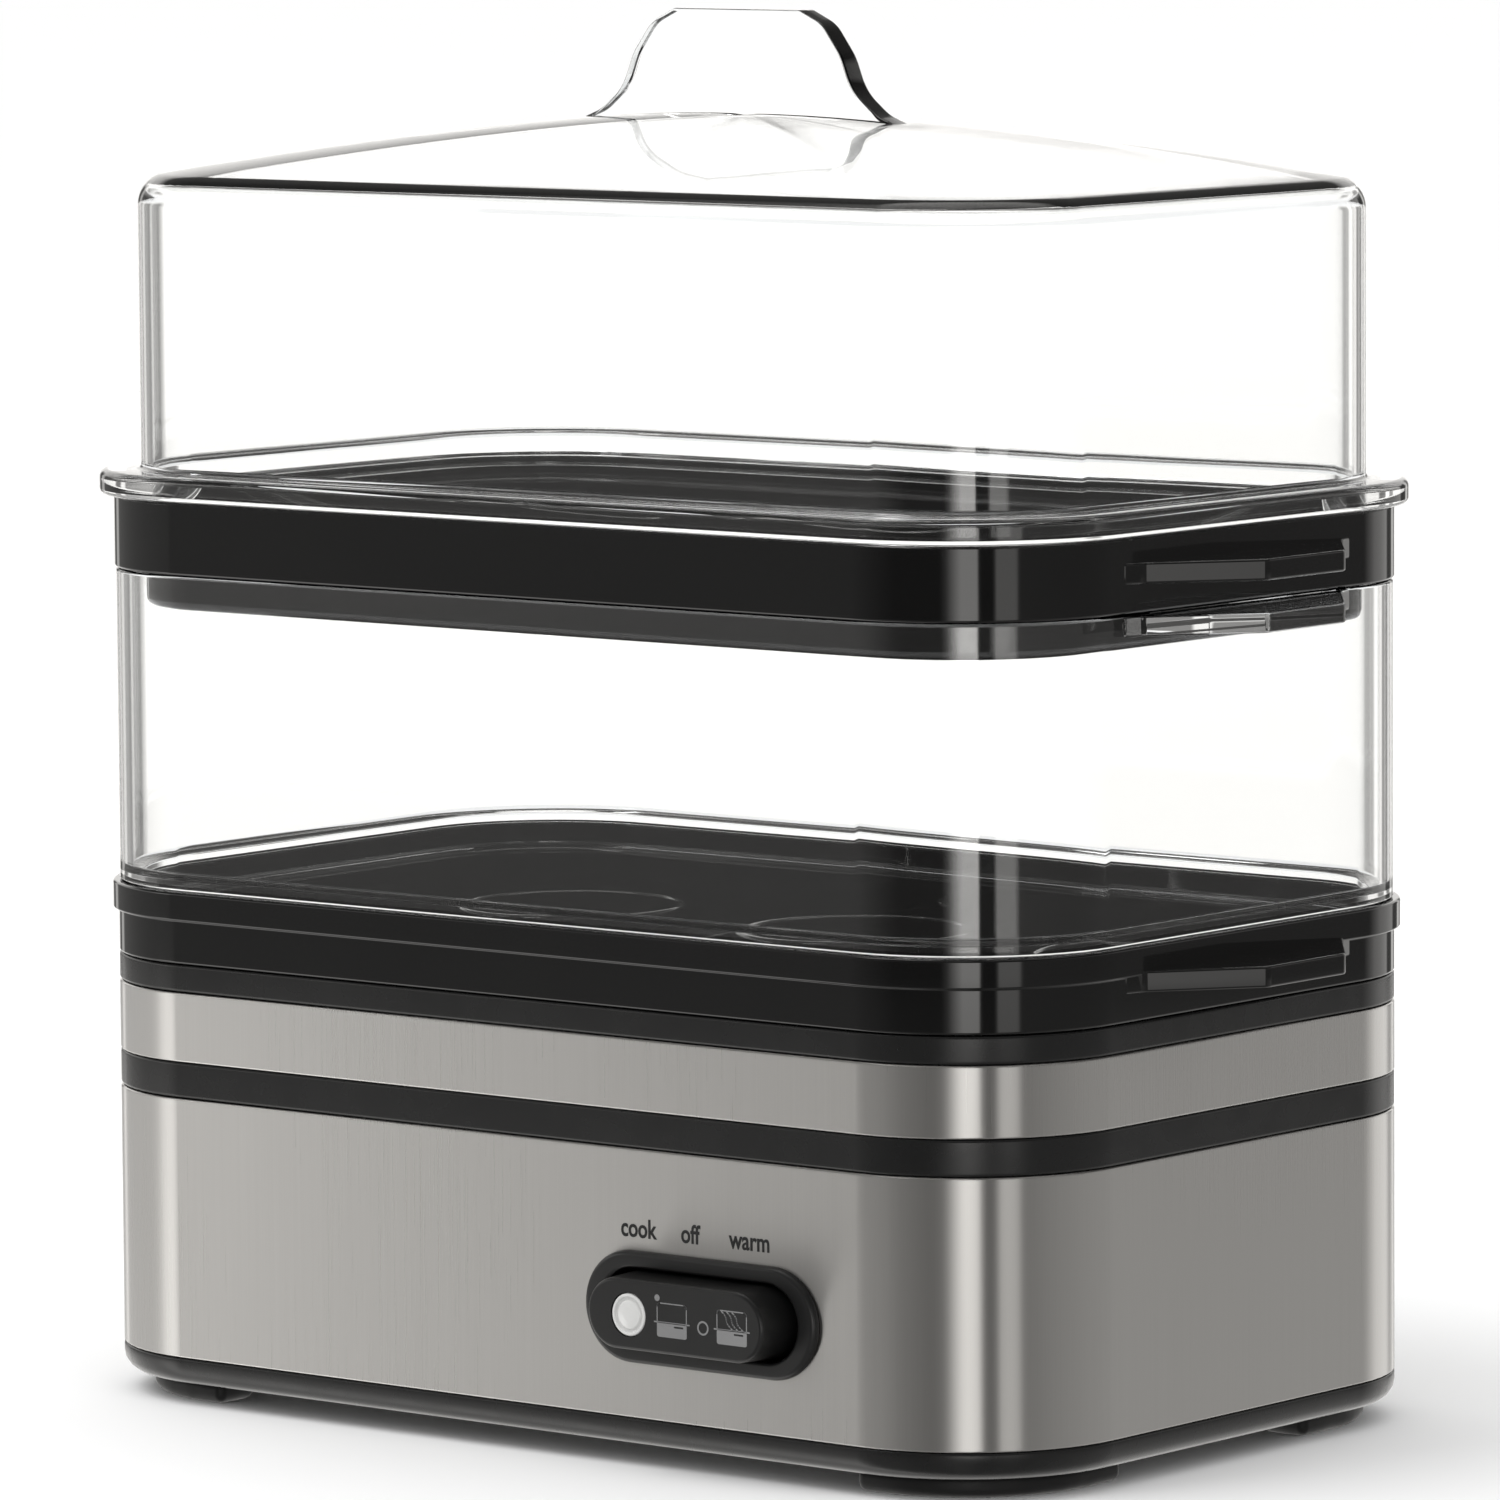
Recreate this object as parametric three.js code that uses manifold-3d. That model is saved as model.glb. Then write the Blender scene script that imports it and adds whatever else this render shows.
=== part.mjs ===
// Two-tier egg cooker: a heated water bowl in a steel-clad base, two egg trays, a clear collar between
// them and a clear lid on top. Millimetres, +Z up, front face towards -Y, origin on the table under
// the middle of the base.
import * as THREE from "three";
import { mergeVertices } from "three/addons/utils/BufferGeometryUtils.js";
import Module from "manifold-3d";

const wasm = await Module();
wasm.setup();

// ---- Driving dimensions ----
const WIDTH = 188;
const DEPTH = 117;
const CORNER = 27;
const GAP = 0.3; // clearance between neighbouring pieces

// Heights above the table where one layer ends and the next begins.
const COVER_Z = 3.2;
const SHELL_Z = 7.64;
const MIDDLE_RING_Z = 48.41;
const BAND_Z = 54.07;
const TOP_RING_Z = 64.95;
const LOWER_TRAY_Z = 69.28;
const UPPER_TRAY_Z = 129.68;

// Base.
const FOOT = { inset: 3, width: 10, x: 63, y: 23 };
const COVER = { floor: 2.2, rim: 3 };
const STEEL = 0.8;
const RING = 1;
const HOUSING = { outer: 1.3, inner: 3, top: 66.4, floor: 7.7 };
const POST = { x: 66, y: 34, radius: 5, top: 24, rib: 2 };
const SCREW = { head: 3.2, shank: 1.4, hole: 1.7, headHeight: 1.7, length: 14 };

// Heated bowl and what is fixed under it.
const BOWL = { wall: 3.4, thickness: 1.2, top: 68.7, ledge: 58, ledgeInset: 14.8, floor: 50 };
const SPREADER = { width: 104, depth: 54, corner: 8, height: 2.4 };
const ELEMENT = { radius: 3.1, z: 43.8, spacing: 28, left: -46, right: 34 };
const THERMOSTAT = { x: -10, radius: 8, bottom: 40.8 };
const BRACKET = { width: 12, length: 44, thickness: 1.2, screwY: 19 };
const FUSE = { x: 20, length: 16, radius: 2 };

// Rocker switch: a stadium bezel in the front wall with a rocker that tilts about an upright pin.
const SWITCH = { x: 38, z: 24.6 };
const BEZEL = { width: 44.8, height: 17.3, proud: 1.2, neckWidth: 40.8, neckHeight: 14.8, back: -50.3 };
const BEZEL_OPENING = { width: 37.4, height: 11.6 };
const ROCKER = { width: 34.5, height: 11, front: -65.4, back: -53, wall: 1.5, face: 2.4 };
const PIVOT = { y: -54, radius: 1, hole: 1.3, block: 3 };
const LENS = { x: -8.8, radius: 3.3, depth: 2.2 };
const SWITCH_BODY = { width: 35, height: 14, front: -49.7, back: -31 };
const BLADE = { width: 0.8, height: 4.8, length: 6, spacing: 10 };

// Mains entry in the rear wall.
const GLAND = { x: -46, z: 16, bore: 3.3, neck: 5, flange: 7.5, nose: 4.8, reach: 65.4 };
const TERMINAL_BLOCK = { x: -28, y: 42, width: 26, depth: 12, height: 12 };
const LEAD_RADIUS = 1.3;

// Egg tray. Heights are measured from the underside of its band.
const TRAY = { band: 11.4, wall: 2, ledge: 7.6, ledgeThickness: 1.6, skirtInset: 5, skirt: 1.8 };
const DECK = { bottom: -5.8, thickness: 1.6 };
const SEAT = { columns: [-58, 0, 58], rows: [-27, 27], radius: 17, wall: 1.6, top: 2 };
const STEAM_HOLE = 3;
const TAB = { root: 25.5, tip: 9.7, reach: 12.6, thickness: 3.2, z: 4.4 };

// Collar and lid.
const COLLAR = { inset: 0.2, wall: 2, lip: 1.7, flange: 2 };
const LID = { proud: 2.2, flange: 3.8, inset: 4.3, wall: 1.8, shoulder: 5, shoulderZ: 186.5 };
const ROOF = { rise: 9.2, power: 1.3, steps: 5 };
const FIN = { top: 216.3, topHalf: 12.3, neckHalf: 20, neckZ: 209.2, rootHalf: 31, rootZ: 199.3, thickness: 4 };

// Smoothness of arcs: segments in a quarter turn are twice this number.
const CORNER_SEGMENTS = 3;
const ROUND_SEGMENTS = 20;

// ---- Materials ----
const metal = (color, roughness) => new THREE.MeshStandardMaterial({ color, roughness, metalness: 1 });
const plastic = (color, roughness) => new THREE.MeshStandardMaterial({ color, roughness, metalness: 0 });
const MATERIAL = {
  steel: metal(0x9c9a97, 0.32),
  glossBlack: plastic(0x101010, 0.08),
  satinBlack: plastic(0x1c1c1d, 0.38),
  rubber: plastic(0x151515, 0.7),
  clear: new THREE.MeshStandardMaterial({
    color: 0xf4f6f6,
    roughness: 0.03,
    metalness: 0,
    transparent: true,
    opacity: 0.25,
  }),
  nonStick: metal(0x2b2b2d, 0.45),
  aluminium: metal(0xc9cacb, 0.4),
  element: metal(0x6e6a64, 0.5),
  lens: plastic(0xeceae4, 0.2),
  brass: metal(0xb08d4a, 0.35),
  screw: metal(0xb4b4b6, 0.35),
  phenolic: plastic(0x3a2a20, 0.5),
  ceramic: plastic(0xe6e0d4, 0.4),
  silicone: plastic(0xb9b4aa, 0.6),
  redLead: plastic(0x9c1d18, 0.5),
  blueLead: plastic(0x1d3f8c, 0.5),
  whiteLead: plastic(0xd9d6cf, 0.5),
};

// ---- Outlines ----
function roundedRectangle(width, depth, radius) {
  const x = width / 2 - radius;
  const y = depth / 2 - radius;
  const shape = new THREE.Shape();
  shape.absarc(x, y, radius, 0, Math.PI / 2);
  shape.absarc(-x, y, radius, Math.PI / 2, Math.PI);
  shape.absarc(-x, -y, radius, Math.PI, 1.5 * Math.PI);
  shape.absarc(x, -y, radius, 1.5 * Math.PI, 2 * Math.PI);
  return shape;
}

// The body's plan, drawn in by an inset all round.
function plan(inset) {
  return roundedRectangle(WIDTH - 2 * inset, DEPTH - 2 * inset, CORNER - inset);
}

function stadium(width, height) {
  const radius = height / 2;
  const x = width / 2 - radius;
  const shape = new THREE.Shape();
  shape.absarc(x, 0, radius, -Math.PI / 2, Math.PI / 2);
  shape.absarc(-x, 0, radius, Math.PI / 2, 1.5 * Math.PI);
  return shape;
}

function circle(radius) {
  const shape = new THREE.Shape();
  shape.absarc(0, 0, radius, 0, 2 * Math.PI);
  return shape;
}

function rectangle(width, depth) {
  const shape = new THREE.Shape();
  shape.moveTo(-width / 2, -depth / 2);
  shape.lineTo(width / 2, -depth / 2);
  shape.lineTo(width / 2, depth / 2);
  shape.lineTo(-width / 2, depth / 2);
  return shape;
}

// ---- Solids ----
function solidOf(geometry) {
  const bare = geometry.clone();
  bare.deleteAttribute("normal");
  bare.deleteAttribute("uv");
  const merged = mergeVertices(bare, 1e-4);
  return new wasm.Manifold(
    new wasm.Mesh({
      numProp: 3,
      vertProperties: merged.getAttribute("position").array,
      triVerts: new Uint32Array(merged.index.array),
    }),
  );
}

function geometryOf(solid) {
  const mesh = solid.getMesh();
  const geometry = new THREE.BufferGeometry();
  geometry.setAttribute("position", new THREE.BufferAttribute(mesh.vertProperties, mesh.numProp));
  geometry.setIndex(new THREE.BufferAttribute(mesh.triVerts, 1));
  return geometry;
}

// An upright prism of an outline in plan, from one height to another.
function prism(shape, bottom, top, segments = CORNER_SEGMENTS) {
  const options = { depth: top - bottom, bevelEnabled: false, curveSegments: segments };
  return solidOf(new THREE.ExtrudeGeometry(shape, options).translate(0, 0, bottom));
}

// A prism of an outline drawn in the X-Z plane, running from a front y to a back y.
function frontPrism(shape, front, back, segments = CORNER_SEGMENTS) {
  const options = { depth: back - front, bevelEnabled: false, curveSegments: segments };
  const geometry = new THREE.ExtrudeGeometry(shape, options);
  return solidOf(geometry.rotateX(Math.PI / 2).translate(0, back, 0));
}

// A wall that follows the body's plan between two insets.
function wallRing(outerInset, innerInset, bottom, top) {
  const hollow = prism(plan(innerInset), bottom - 1, top + 1);
  return prism(plan(outerInset), bottom, top).subtract(hollow);
}

function box(width, depth, height, x, y, z) {
  return prism(rectangle(width, depth), z, z + height).translate([x, y, 0]);
}

function cylinder(radius, bottom, top, x, y) {
  return prism(circle(radius), bottom, top, ROUND_SEGMENTS / 2).translate([x, y, 0]);
}

// A solid turned about the Y axis from [radius, y] points that start and end on the axis.
function turnedAlongY(points) {
  const profile = points.map(([radius, y]) => new THREE.Vector2(radius, y));
  return solidOf(new THREE.LatheGeometry(profile, ROUND_SEGMENTS));
}

// A closed skin over stacked sections that hold the same number of points, capped by fans.
function loft(sections) {
  const count = sections[0].length;
  const positions = sections.flat().flatMap((point) => point.toArray());
  const indices = [];
  for (let level = 0; level + 1 < sections.length; level++) {
    for (let i = 0; i < count; i++) {
      const next = (i + 1) % count;
      const low = level * count;
      const high = low + count;
      indices.push(low + i, low + next, high + next, low + i, high + next, high + i);
    }
  }
  const last = (sections.length - 1) * count;
  for (let i = 1; i + 1 < count; i++) {
    indices.push(0, i + 1, i);
    indices.push(last, last + i, last + i + 1);
  }
  const geometry = new THREE.BufferGeometry();
  geometry.setAttribute("position", new THREE.Float32BufferAttribute(positions, 3));
  geometry.setIndex(indices);
  return solidOf(geometry);
}

// A round bar along a smooth curve through points.
function rod(points, radius, steps, sides = 8) {
  const curve = new THREE.CatmullRomCurve3(points.map((point) => new THREE.Vector3(...point)));
  const section = new THREE.Shape();
  section.setFromPoints(
    Array.from({ length: sides }, (_, i) => {
      const angle = (2 * Math.PI * i) / sides;
      return new THREE.Vector2(radius * Math.cos(angle), radius * Math.sin(angle));
    }),
  );
  return solidOf(new THREE.ExtrudeGeometry(section, { steps, extrudePath: curve, bevelEnabled: false }));
}

// ---- The part ----
const part = new THREE.Group();

function add(name, solid, material, parent = part) {
  const mesh = new THREE.Mesh(geometryOf(solid), material);
  mesh.name = name;
  parent.add(mesh);
}

const CORNERS = [
  { name: "front_left", x: -1, y: -1 },
  { name: "front_right", x: 1, y: -1 },
  { name: "rear_left", x: -1, y: 1 },
  { name: "rear_right", x: 1, y: 1 },
];

// Curved pads that follow the corners of the base.
function addFeet() {
  const loop = wallRing(FOOT.inset, FOOT.inset + FOOT.width, 0, COVER_Z - GAP);
  const reach = WIDTH;
  for (const { name, x, y } of CORNERS) {
    const quarter = prism(rectangle(reach, reach), -1, COVER_Z);
    const shift = [x * (FOOT.x + reach / 2), y * (FOOT.y + reach / 2), 0];
    add(`foot_${name}`, loop.intersect(quarter.translate(shift)), MATERIAL.rubber);
  }
}

// Moulded pan that closes the base, with a boss round each screw.
function addBottomCover() {
  const floorTop = COVER_Z + COVER.floor;
  let cover = prism(plan(0), COVER_Z, floorTop).add(
    wallRing(0, COVER.rim, COVER_Z, SHELL_Z - GAP),
  );
  for (const { x, y } of CORNERS) {
    const [px, py] = [x * POST.x, y * POST.y];
    cover = cover
      .add(cylinder(POST.radius + 1, COVER_Z, SHELL_Z + 0.7, px, py))
      .subtract(cylinder(SCREW.hole, COVER_Z - 1, SHELL_Z + 2, px, py))
      .subtract(cylinder(SCREW.head + 0.4, COVER_Z - 1, floorTop, px, py));
  }
  add("bottom_cover", cover, MATERIAL.satinBlack);
}

function addCoverScrews() {
  for (const { name, x, y } of CORNERS) {
    const headTop = COVER_Z + COVER.floor - GAP;
    const head = cylinder(SCREW.head, headTop - SCREW.headHeight, headTop, x * POST.x, y * POST.y);
    const shank = cylinder(SCREW.shank, headTop - 1, headTop + SCREW.length, x * POST.x, y * POST.y);
    add(`cover_screw_${name}`, head.add(shank), MATERIAL.screw);
  }
}

// The cut-outs that the switch and the mains entry share through the walls of the base.
function wallOpenings() {
  const forSwitch = frontPrism(stadium(BEZEL.neckWidth + 0.8, BEZEL.neckHeight + 0.8), -DEPTH, BEZEL.back);
  const forGland = frontPrism(circle(GLAND.neck + 0.4), 0, DEPTH, ROUND_SEGMENTS / 2);
  return forSwitch.translate([SWITCH.x, 0, SWITCH.z]).add(forGland.translate([GLAND.x, 0, GLAND.z]));
}

function addSteelAndRings() {
  const lower = wallRing(0, STEEL, SHELL_Z, MIDDLE_RING_Z - GAP);
  add("lower_steel_shell", lower.subtract(wallOpenings()), MATERIAL.steel);
  add("middle_trim_ring", wallRing(0, RING, MIDDLE_RING_Z, BAND_Z - GAP), MATERIAL.satinBlack);
  add("upper_steel_band", wallRing(0, STEEL, BAND_Z, TOP_RING_Z - GAP), MATERIAL.steel);
  add("top_trim_ring", wallRing(0, RING, TOP_RING_Z, LOWER_TRAY_Z), MATERIAL.satinBlack);
}

// Moulded liner behind the steel, with posts that the cover screws bite into.
function addInnerHousing() {
  let housing = wallRing(HOUSING.outer, HOUSING.inner, HOUSING.floor, HOUSING.top);
  const wallY = DEPTH / 2 - HOUSING.inner + 0.5;
  for (const { x, y } of CORNERS) {
    const [px, py] = [x * POST.x, y * POST.y];
    const bottom = SHELL_Z + 1;
    const ribLength = wallY - POST.y;
    housing = housing
      .add(cylinder(POST.radius, bottom, POST.top, px, py))
      .add(box(POST.rib, ribLength, POST.top - bottom, px, y * (POST.y + ribLength / 2), bottom))
      .subtract(cylinder(SCREW.hole, bottom - 1, POST.top - 2, px, py));
  }
  add("inner_housing", housing.subtract(wallOpenings()), MATERIAL.satinBlack);
}

// Stepped bowl: flange on the housing, a ledge, then the well that holds the water.
function addBowl() {
  const t = BOWL.thickness;
  const flangeBottom = BOWL.top - 1;
  const bowl = prism(plan(HOUSING.outer), flangeBottom, BOWL.top)
    .add(prism(plan(BOWL.wall), BOWL.ledge, flangeBottom + 0.5))
    .add(prism(plan(BOWL.ledgeInset), BOWL.floor, BOWL.ledge + 0.5))
    .subtract(prism(plan(BOWL.wall + t), BOWL.ledge + t, BOWL.top + 1))
    .subtract(prism(plan(BOWL.ledgeInset + t), BOWL.floor + t, BOWL.ledge + t + 1));
  add("heating_plate", bowl, MATERIAL.nonStick);
  add(
    "plate_seal",
    wallRing(HOUSING.outer + 0.3, HOUSING.inner - 0.2, HOUSING.top + GAP, BOWL.top - 1 - GAP),
    MATERIAL.silicone,
  );
}

function addHeater() {
  const spreaderTop = BOWL.floor - GAP;
  const spreaderBottom = spreaderTop - SPREADER.height;
  let spreader = prism(
    roundedRectangle(SPREADER.width, SPREADER.depth, SPREADER.corner),
    spreaderBottom,
    spreaderTop,
  );
  const strapTop = THERMOSTAT.bottom - GAP;
  const strapBottom = strapTop - BRACKET.thickness;
  let strap = box(BRACKET.width, BRACKET.length, BRACKET.thickness, THERMOSTAT.x, 0, strapBottom);
  for (const [name, y] of [["front", -BRACKET.screwY], ["rear", BRACKET.screwY]]) {
    const hole = cylinder(SCREW.hole, strapBottom - 1, spreaderTop - 0.5, THERMOSTAT.x, y);
    spreader = spreader.subtract(hole);
    strap = strap.subtract(hole);
    const head = cylinder(SCREW.head, strapBottom - GAP - 2, strapBottom - GAP, THERMOSTAT.x, y);
    const shank = cylinder(SCREW.shank, strapBottom - 1, spreaderTop - 1, THERMOSTAT.x, y);
    add(`bracket_screw_${name}`, head.add(shank), MATERIAL.screw);
  }
  add("heat_spreader", spreader, MATERIAL.aluminium);
  add("thermostat_bracket", strap, MATERIAL.aluminium);
  const disc = cylinder(THERMOSTAT.radius, THERMOSTAT.bottom, spreaderBottom - GAP, THERMOSTAT.x, 0);
  add("thermostat", disc, MATERIAL.ceramic);
  const fuse = turnedAlongY([
    [0, -FUSE.length / 2],
    [FUSE.radius, -FUSE.length / 2],
    [FUSE.radius, FUSE.length / 2],
    [0, FUSE.length / 2],
  ]);
  add("thermal_fuse", fuse.rotate([0, 0, 90]).translate([FUSE.x, 0, ELEMENT.z]), MATERIAL.ceramic);
  addElement();
}

// U-shaped sheathed element clamped under the spreader.
function addElement() {
  const half = ELEMENT.spacing / 2;
  const bend = Array.from({ length: 7 }, (_, i) => {
    const angle = Math.PI / 2 - (Math.PI * i) / 6;
    return [ELEMENT.right + half * Math.cos(angle), half * Math.sin(angle), ELEMENT.z];
  });
  const legs = [0.4, 0.7].map((t) => ELEMENT.left + t * (ELEMENT.right - ELEMENT.left));
  const path = [
    [ELEMENT.left, half, ELEMENT.z],
    ...legs.map((x) => [x, half, ELEMENT.z]),
    ...bend,
    ...legs.reverse().map((x) => [x, -half, ELEMENT.z]),
    [ELEMENT.left, -half, ELEMENT.z],
  ];
  add("heating_element", rod(path, ELEMENT.radius, 30), MATERIAL.element);
}

// Stadium bezel with a neck through the wall, whose top and bottom hold the pivot pin.
function addSwitch() {
  const place = [SWITCH.x, 0, SWITCH.z];
  const face = -DEPTH / 2;
  const pinHole = prism(circle(PIVOT.hole), -DEPTH, DEPTH, 4).translate([0, PIVOT.y, 0]);
  const bezel = frontPrism(stadium(BEZEL.width, BEZEL.height), face - BEZEL.proud, face - GAP, 5)
    .add(frontPrism(stadium(BEZEL.neckWidth, BEZEL.neckHeight), face - BEZEL.proud, BEZEL.back, 5))
    .subtract(frontPrism(stadium(BEZEL_OPENING.width, BEZEL_OPENING.height), -DEPTH, 0, 5))
    .subtract(pinHole);
  add("switch_bezel", bezel.translate(place), MATERIAL.satinBlack);

  const lensHole = frontPrism(circle(LENS.radius + GAP), -DEPTH, ROCKER.front + ROCKER.face + 1, 8);
  const pocketWidth = ROCKER.width / 2 - ROCKER.wall - PIVOT.block - 2;
  const pocket = frontPrism(
    rectangle(pocketWidth, ROCKER.height - 2 * ROCKER.wall),
    ROCKER.front + ROCKER.face,
    0,
  );
  const pocketX = PIVOT.block + pocketWidth / 2;
  const rocker = frontPrism(stadium(ROCKER.width, ROCKER.height), ROCKER.front, ROCKER.back, 5)
    .subtract(pocket.translate([-pocketX, 0, 0]))
    .subtract(pocket.translate([pocketX, 0, 0]))
    .subtract(lensHole.translate([LENS.x, 0, 0]))
    .subtract(pinHole);
  add("switch_rocker", rocker.translate(place), MATERIAL.satinBlack);

  const pinHalf = BEZEL.neckHeight / 2 - 0.4;
  add("switch_pivot_pin", cylinder(PIVOT.radius, -pinHalf, pinHalf, 0, PIVOT.y).translate(place), MATERIAL.screw);
  const lens = frontPrism(circle(LENS.radius), ROCKER.front, ROCKER.front + LENS.depth, 8);
  add("indicator_lens", lens.translate([SWITCH.x + LENS.x, 0, SWITCH.z]), MATERIAL.lens);
  const lampFront = ROCKER.front + LENS.depth + 1;
  const lamp = frontPrism(circle(1.8), lampFront, lampFront + 6, 5);
  add("indicator_lamp", lamp.translate([SWITCH.x + LENS.x, 0, SWITCH.z]), MATERIAL.lens);

  const body = frontPrism(rectangle(SWITCH_BODY.width, SWITCH_BODY.height), SWITCH_BODY.front, SWITCH_BODY.back);
  add("switch_body", body.translate(place), MATERIAL.phenolic);
  ["cook", "common", "warm"].forEach((use, i) => {
    const back = SWITCH_BODY.back + GAP + BLADE.length;
    const blade = frontPrism(rectangle(BLADE.width, BLADE.height), SWITCH_BODY.back + GAP, back);
    const x = SWITCH.x + (i - 1) * BLADE.spacing;
    add(`switch_terminal_${use}`, blade.translate([x, 0, SWITCH.z]), MATERIAL.brass);
  });
}

// Bush in the rear wall, bored for the mains lead.
function addMainsEntry() {
  const wall = DEPTH / 2;
  const gland = turnedAlongY([
    [0, wall - 8],
    [GLAND.neck, wall - 8],
    [GLAND.neck, wall + GAP],
    [GLAND.flange, wall + GAP],
    [GLAND.flange, wall + 2.4],
    [GLAND.nose + 0.8, wall + 3.2],
    [GLAND.nose, GLAND.reach],
    [0, GLAND.reach],
  ]);
  const bore = frontPrism(circle(GLAND.bore), 0, DEPTH, ROUND_SEGMENTS / 2);
  add("cord_gland", gland.subtract(bore).translate([GLAND.x, 0, GLAND.z]), MATERIAL.rubber);
  const { x, y, width, depth, height } = TERMINAL_BLOCK;
  add("terminal_block", box(width, depth, height, x, y, COVER_Z + COVER.floor + GAP), MATERIAL.ceramic);
}

// Insulated leads inside the base, each along its own route.
function addLeads() {
  const blockTop = COVER_Z + COVER.floor + TERMINAL_BLOCK.height + 2;
  const bladeY = SWITCH_BODY.back + BLADE.length + 2;
  const routes = {
    live_lead: [
      [-20, 40, blockTop],
      [-14, 34, blockTop + 8],
      [8, 6, blockTop + 12],
      [36, -10, SWITCH.z + 4],
      [SWITCH.x, bladeY, SWITCH.z],
    ],
    neutral_lead: [
      [-38, 40, blockTop],
      [-46, 30, blockTop + 10],
      [-60, 20, ELEMENT.z - 8],
      [-58, 14, ELEMENT.z],
      [ELEMENT.left - 1, ELEMENT.spacing / 2, ELEMENT.z],
    ],
    cook_lead: [
      [SWITCH.x - BLADE.spacing, bladeY, SWITCH.z],
      [24, -18, SWITCH.z + 4],
      [34, -6, ELEMENT.z - 10],
      [35, 0, ELEMENT.z - 2],
      [FUSE.x + FUSE.length / 2 + 1, 0, ELEMENT.z],
    ],
    thermostat_lead: [
      [THERMOSTAT.x - THERMOSTAT.radius - 1, 0, ELEMENT.z],
      [-30, -2, ELEMENT.z - 1],
      [-52, -6, ELEMENT.z - 2],
      [-56, -12, ELEMENT.z],
      [ELEMENT.left - 1, -ELEMENT.spacing / 2, ELEMENT.z],
    ],
    fuse_lead: [
      [THERMOSTAT.x + THERMOSTAT.radius + 1, 0, ELEMENT.z],
      [6, 2, ELEMENT.z - 1],
      [FUSE.x - FUSE.length / 2 - 1, 0, ELEMENT.z],
    ],
  };
  const insulation = {
    live_lead: MATERIAL.redLead,
    neutral_lead: MATERIAL.blueLead,
    cook_lead: MATERIAL.redLead,
    thermostat_lead: MATERIAL.whiteLead,
    fuse_lead: MATERIAL.whiteLead,
  };
  for (const [name, route] of Object.entries(routes)) {
    add(name, rod(route, LEAD_RADIUS, 4 * route.length, 6), insulation[name]);
  }
}

// Trapezoid lugs at both ends, that fingers lift a layer by.
function liftingTabs(bottom, top) {
  const inner = WIDTH / 2 - 1.2;
  const outer = WIDTH / 2 + TAB.reach;
  const shape = new THREE.Shape();
  shape.moveTo(inner, -TAB.root);
  shape.lineTo(outer, -TAB.tip);
  shape.lineTo(outer, TAB.tip);
  shape.lineTo(inner, TAB.root);
  const right = prism(shape, bottom, top);
  return right.add(right.rotate([0, 0, 180]));
}

// Banded tray with a sunk deck of open egg seats.
function eggTray() {
  const deckTop = DECK.bottom + DECK.thickness;
  const ledgeBottom = TRAY.ledge - TRAY.ledgeThickness;
  const skirtInner = TRAY.skirtInset + TRAY.skirt;
  let tray = prism(plan(0), GAP, TRAY.band)
    .add(liftingTabs(TAB.z, TAB.z + TAB.thickness))
    .subtract(prism(plan(TRAY.wall), -1, ledgeBottom))
    .subtract(prism(plan(TRAY.wall), TRAY.ledge, TRAY.band + 1))
    .add(prism(plan(TRAY.skirtInset), DECK.bottom, TRAY.ledge - 0.5))
    .subtract(prism(plan(skirtInner), deckTop, TRAY.band + 1));
  for (const x of SEAT.columns) {
    for (const y of SEAT.rows) {
      tray = tray
        .add(cylinder(SEAT.radius + SEAT.wall, DECK.bottom + 0.5, SEAT.top, x, y))
        .subtract(cylinder(SEAT.radius, DECK.bottom - 1, SEAT.top + 1, x, y));
    }
  }
  const between = (SEAT.columns[0] + SEAT.columns[1]) / 2;
  for (const x of [between, -between]) {
    tray = tray.subtract(cylinder(STEAM_HOLE, DECK.bottom - 1, deckTop + 1, x, 0));
  }
  return tray;
}

// Clear wall between the trays, with a lip that drops into the lower tray.
function collar() {
  const bottom = LOWER_TRAY_Z + TRAY.band + GAP;
  const top = UPPER_TRAY_Z;
  const lipBottom = LOWER_TRAY_Z + TRAY.ledge + GAP;
  const lipOuter = TRAY.wall + GAP;
  const lipInner = lipOuter + COLLAR.lip;
  return prism(plan(COLLAR.inset), bottom, top)
    .add(prism(plan(lipOuter), lipBottom, bottom + 1))
    .add(liftingTabs(top - TAB.thickness - GAP, top - GAP))
    .subtract(prism(plan(COLLAR.inset + COLLAR.wall), bottom + COLLAR.flange, top + 1))
    .subtract(prism(plan(lipInner), lipBottom - 1, top + 1));
}

// One skin of the lid: upright walls, a rounded shoulder and a shallow hipped roof.
function lidSkin(offset, bottom) {
  const radius = LID.shoulder - offset;
  const section = (inset, z, scale = 1) =>
    plan(inset)
      .extractPoints(CORNER_SEGMENTS)
      .shape.map((point) => new THREE.Vector3(point.x * scale, point.y * scale, z));
  const centreInset = LID.inset + LID.shoulder;
  const sections = [section(LID.inset + offset, bottom)];
  const shoulderEnd = 1.3;
  const shoulderSteps = 3;
  for (let i = 0; i <= shoulderSteps; i++) {
    const angle = (shoulderEnd * i) / shoulderSteps;
    sections.push(section(centreInset - radius * Math.cos(angle), LID.shoulderZ + radius * Math.sin(angle)));
  }
  const edgeInset = centreInset - radius * Math.cos(shoulderEnd);
  const edgeZ = LID.shoulderZ + radius * Math.sin(shoulderEnd);
  for (let i = 1; i < ROOF.steps; i++) {
    const scale = 1 - i / ROOF.steps;
    sections.push(section(edgeInset, edgeZ + ROOF.rise * (1 - scale ** ROOF.power), scale));
  }
  sections.push(section(edgeInset, edgeZ + ROOF.rise, 0.04));
  return loft(sections);
}

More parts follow.
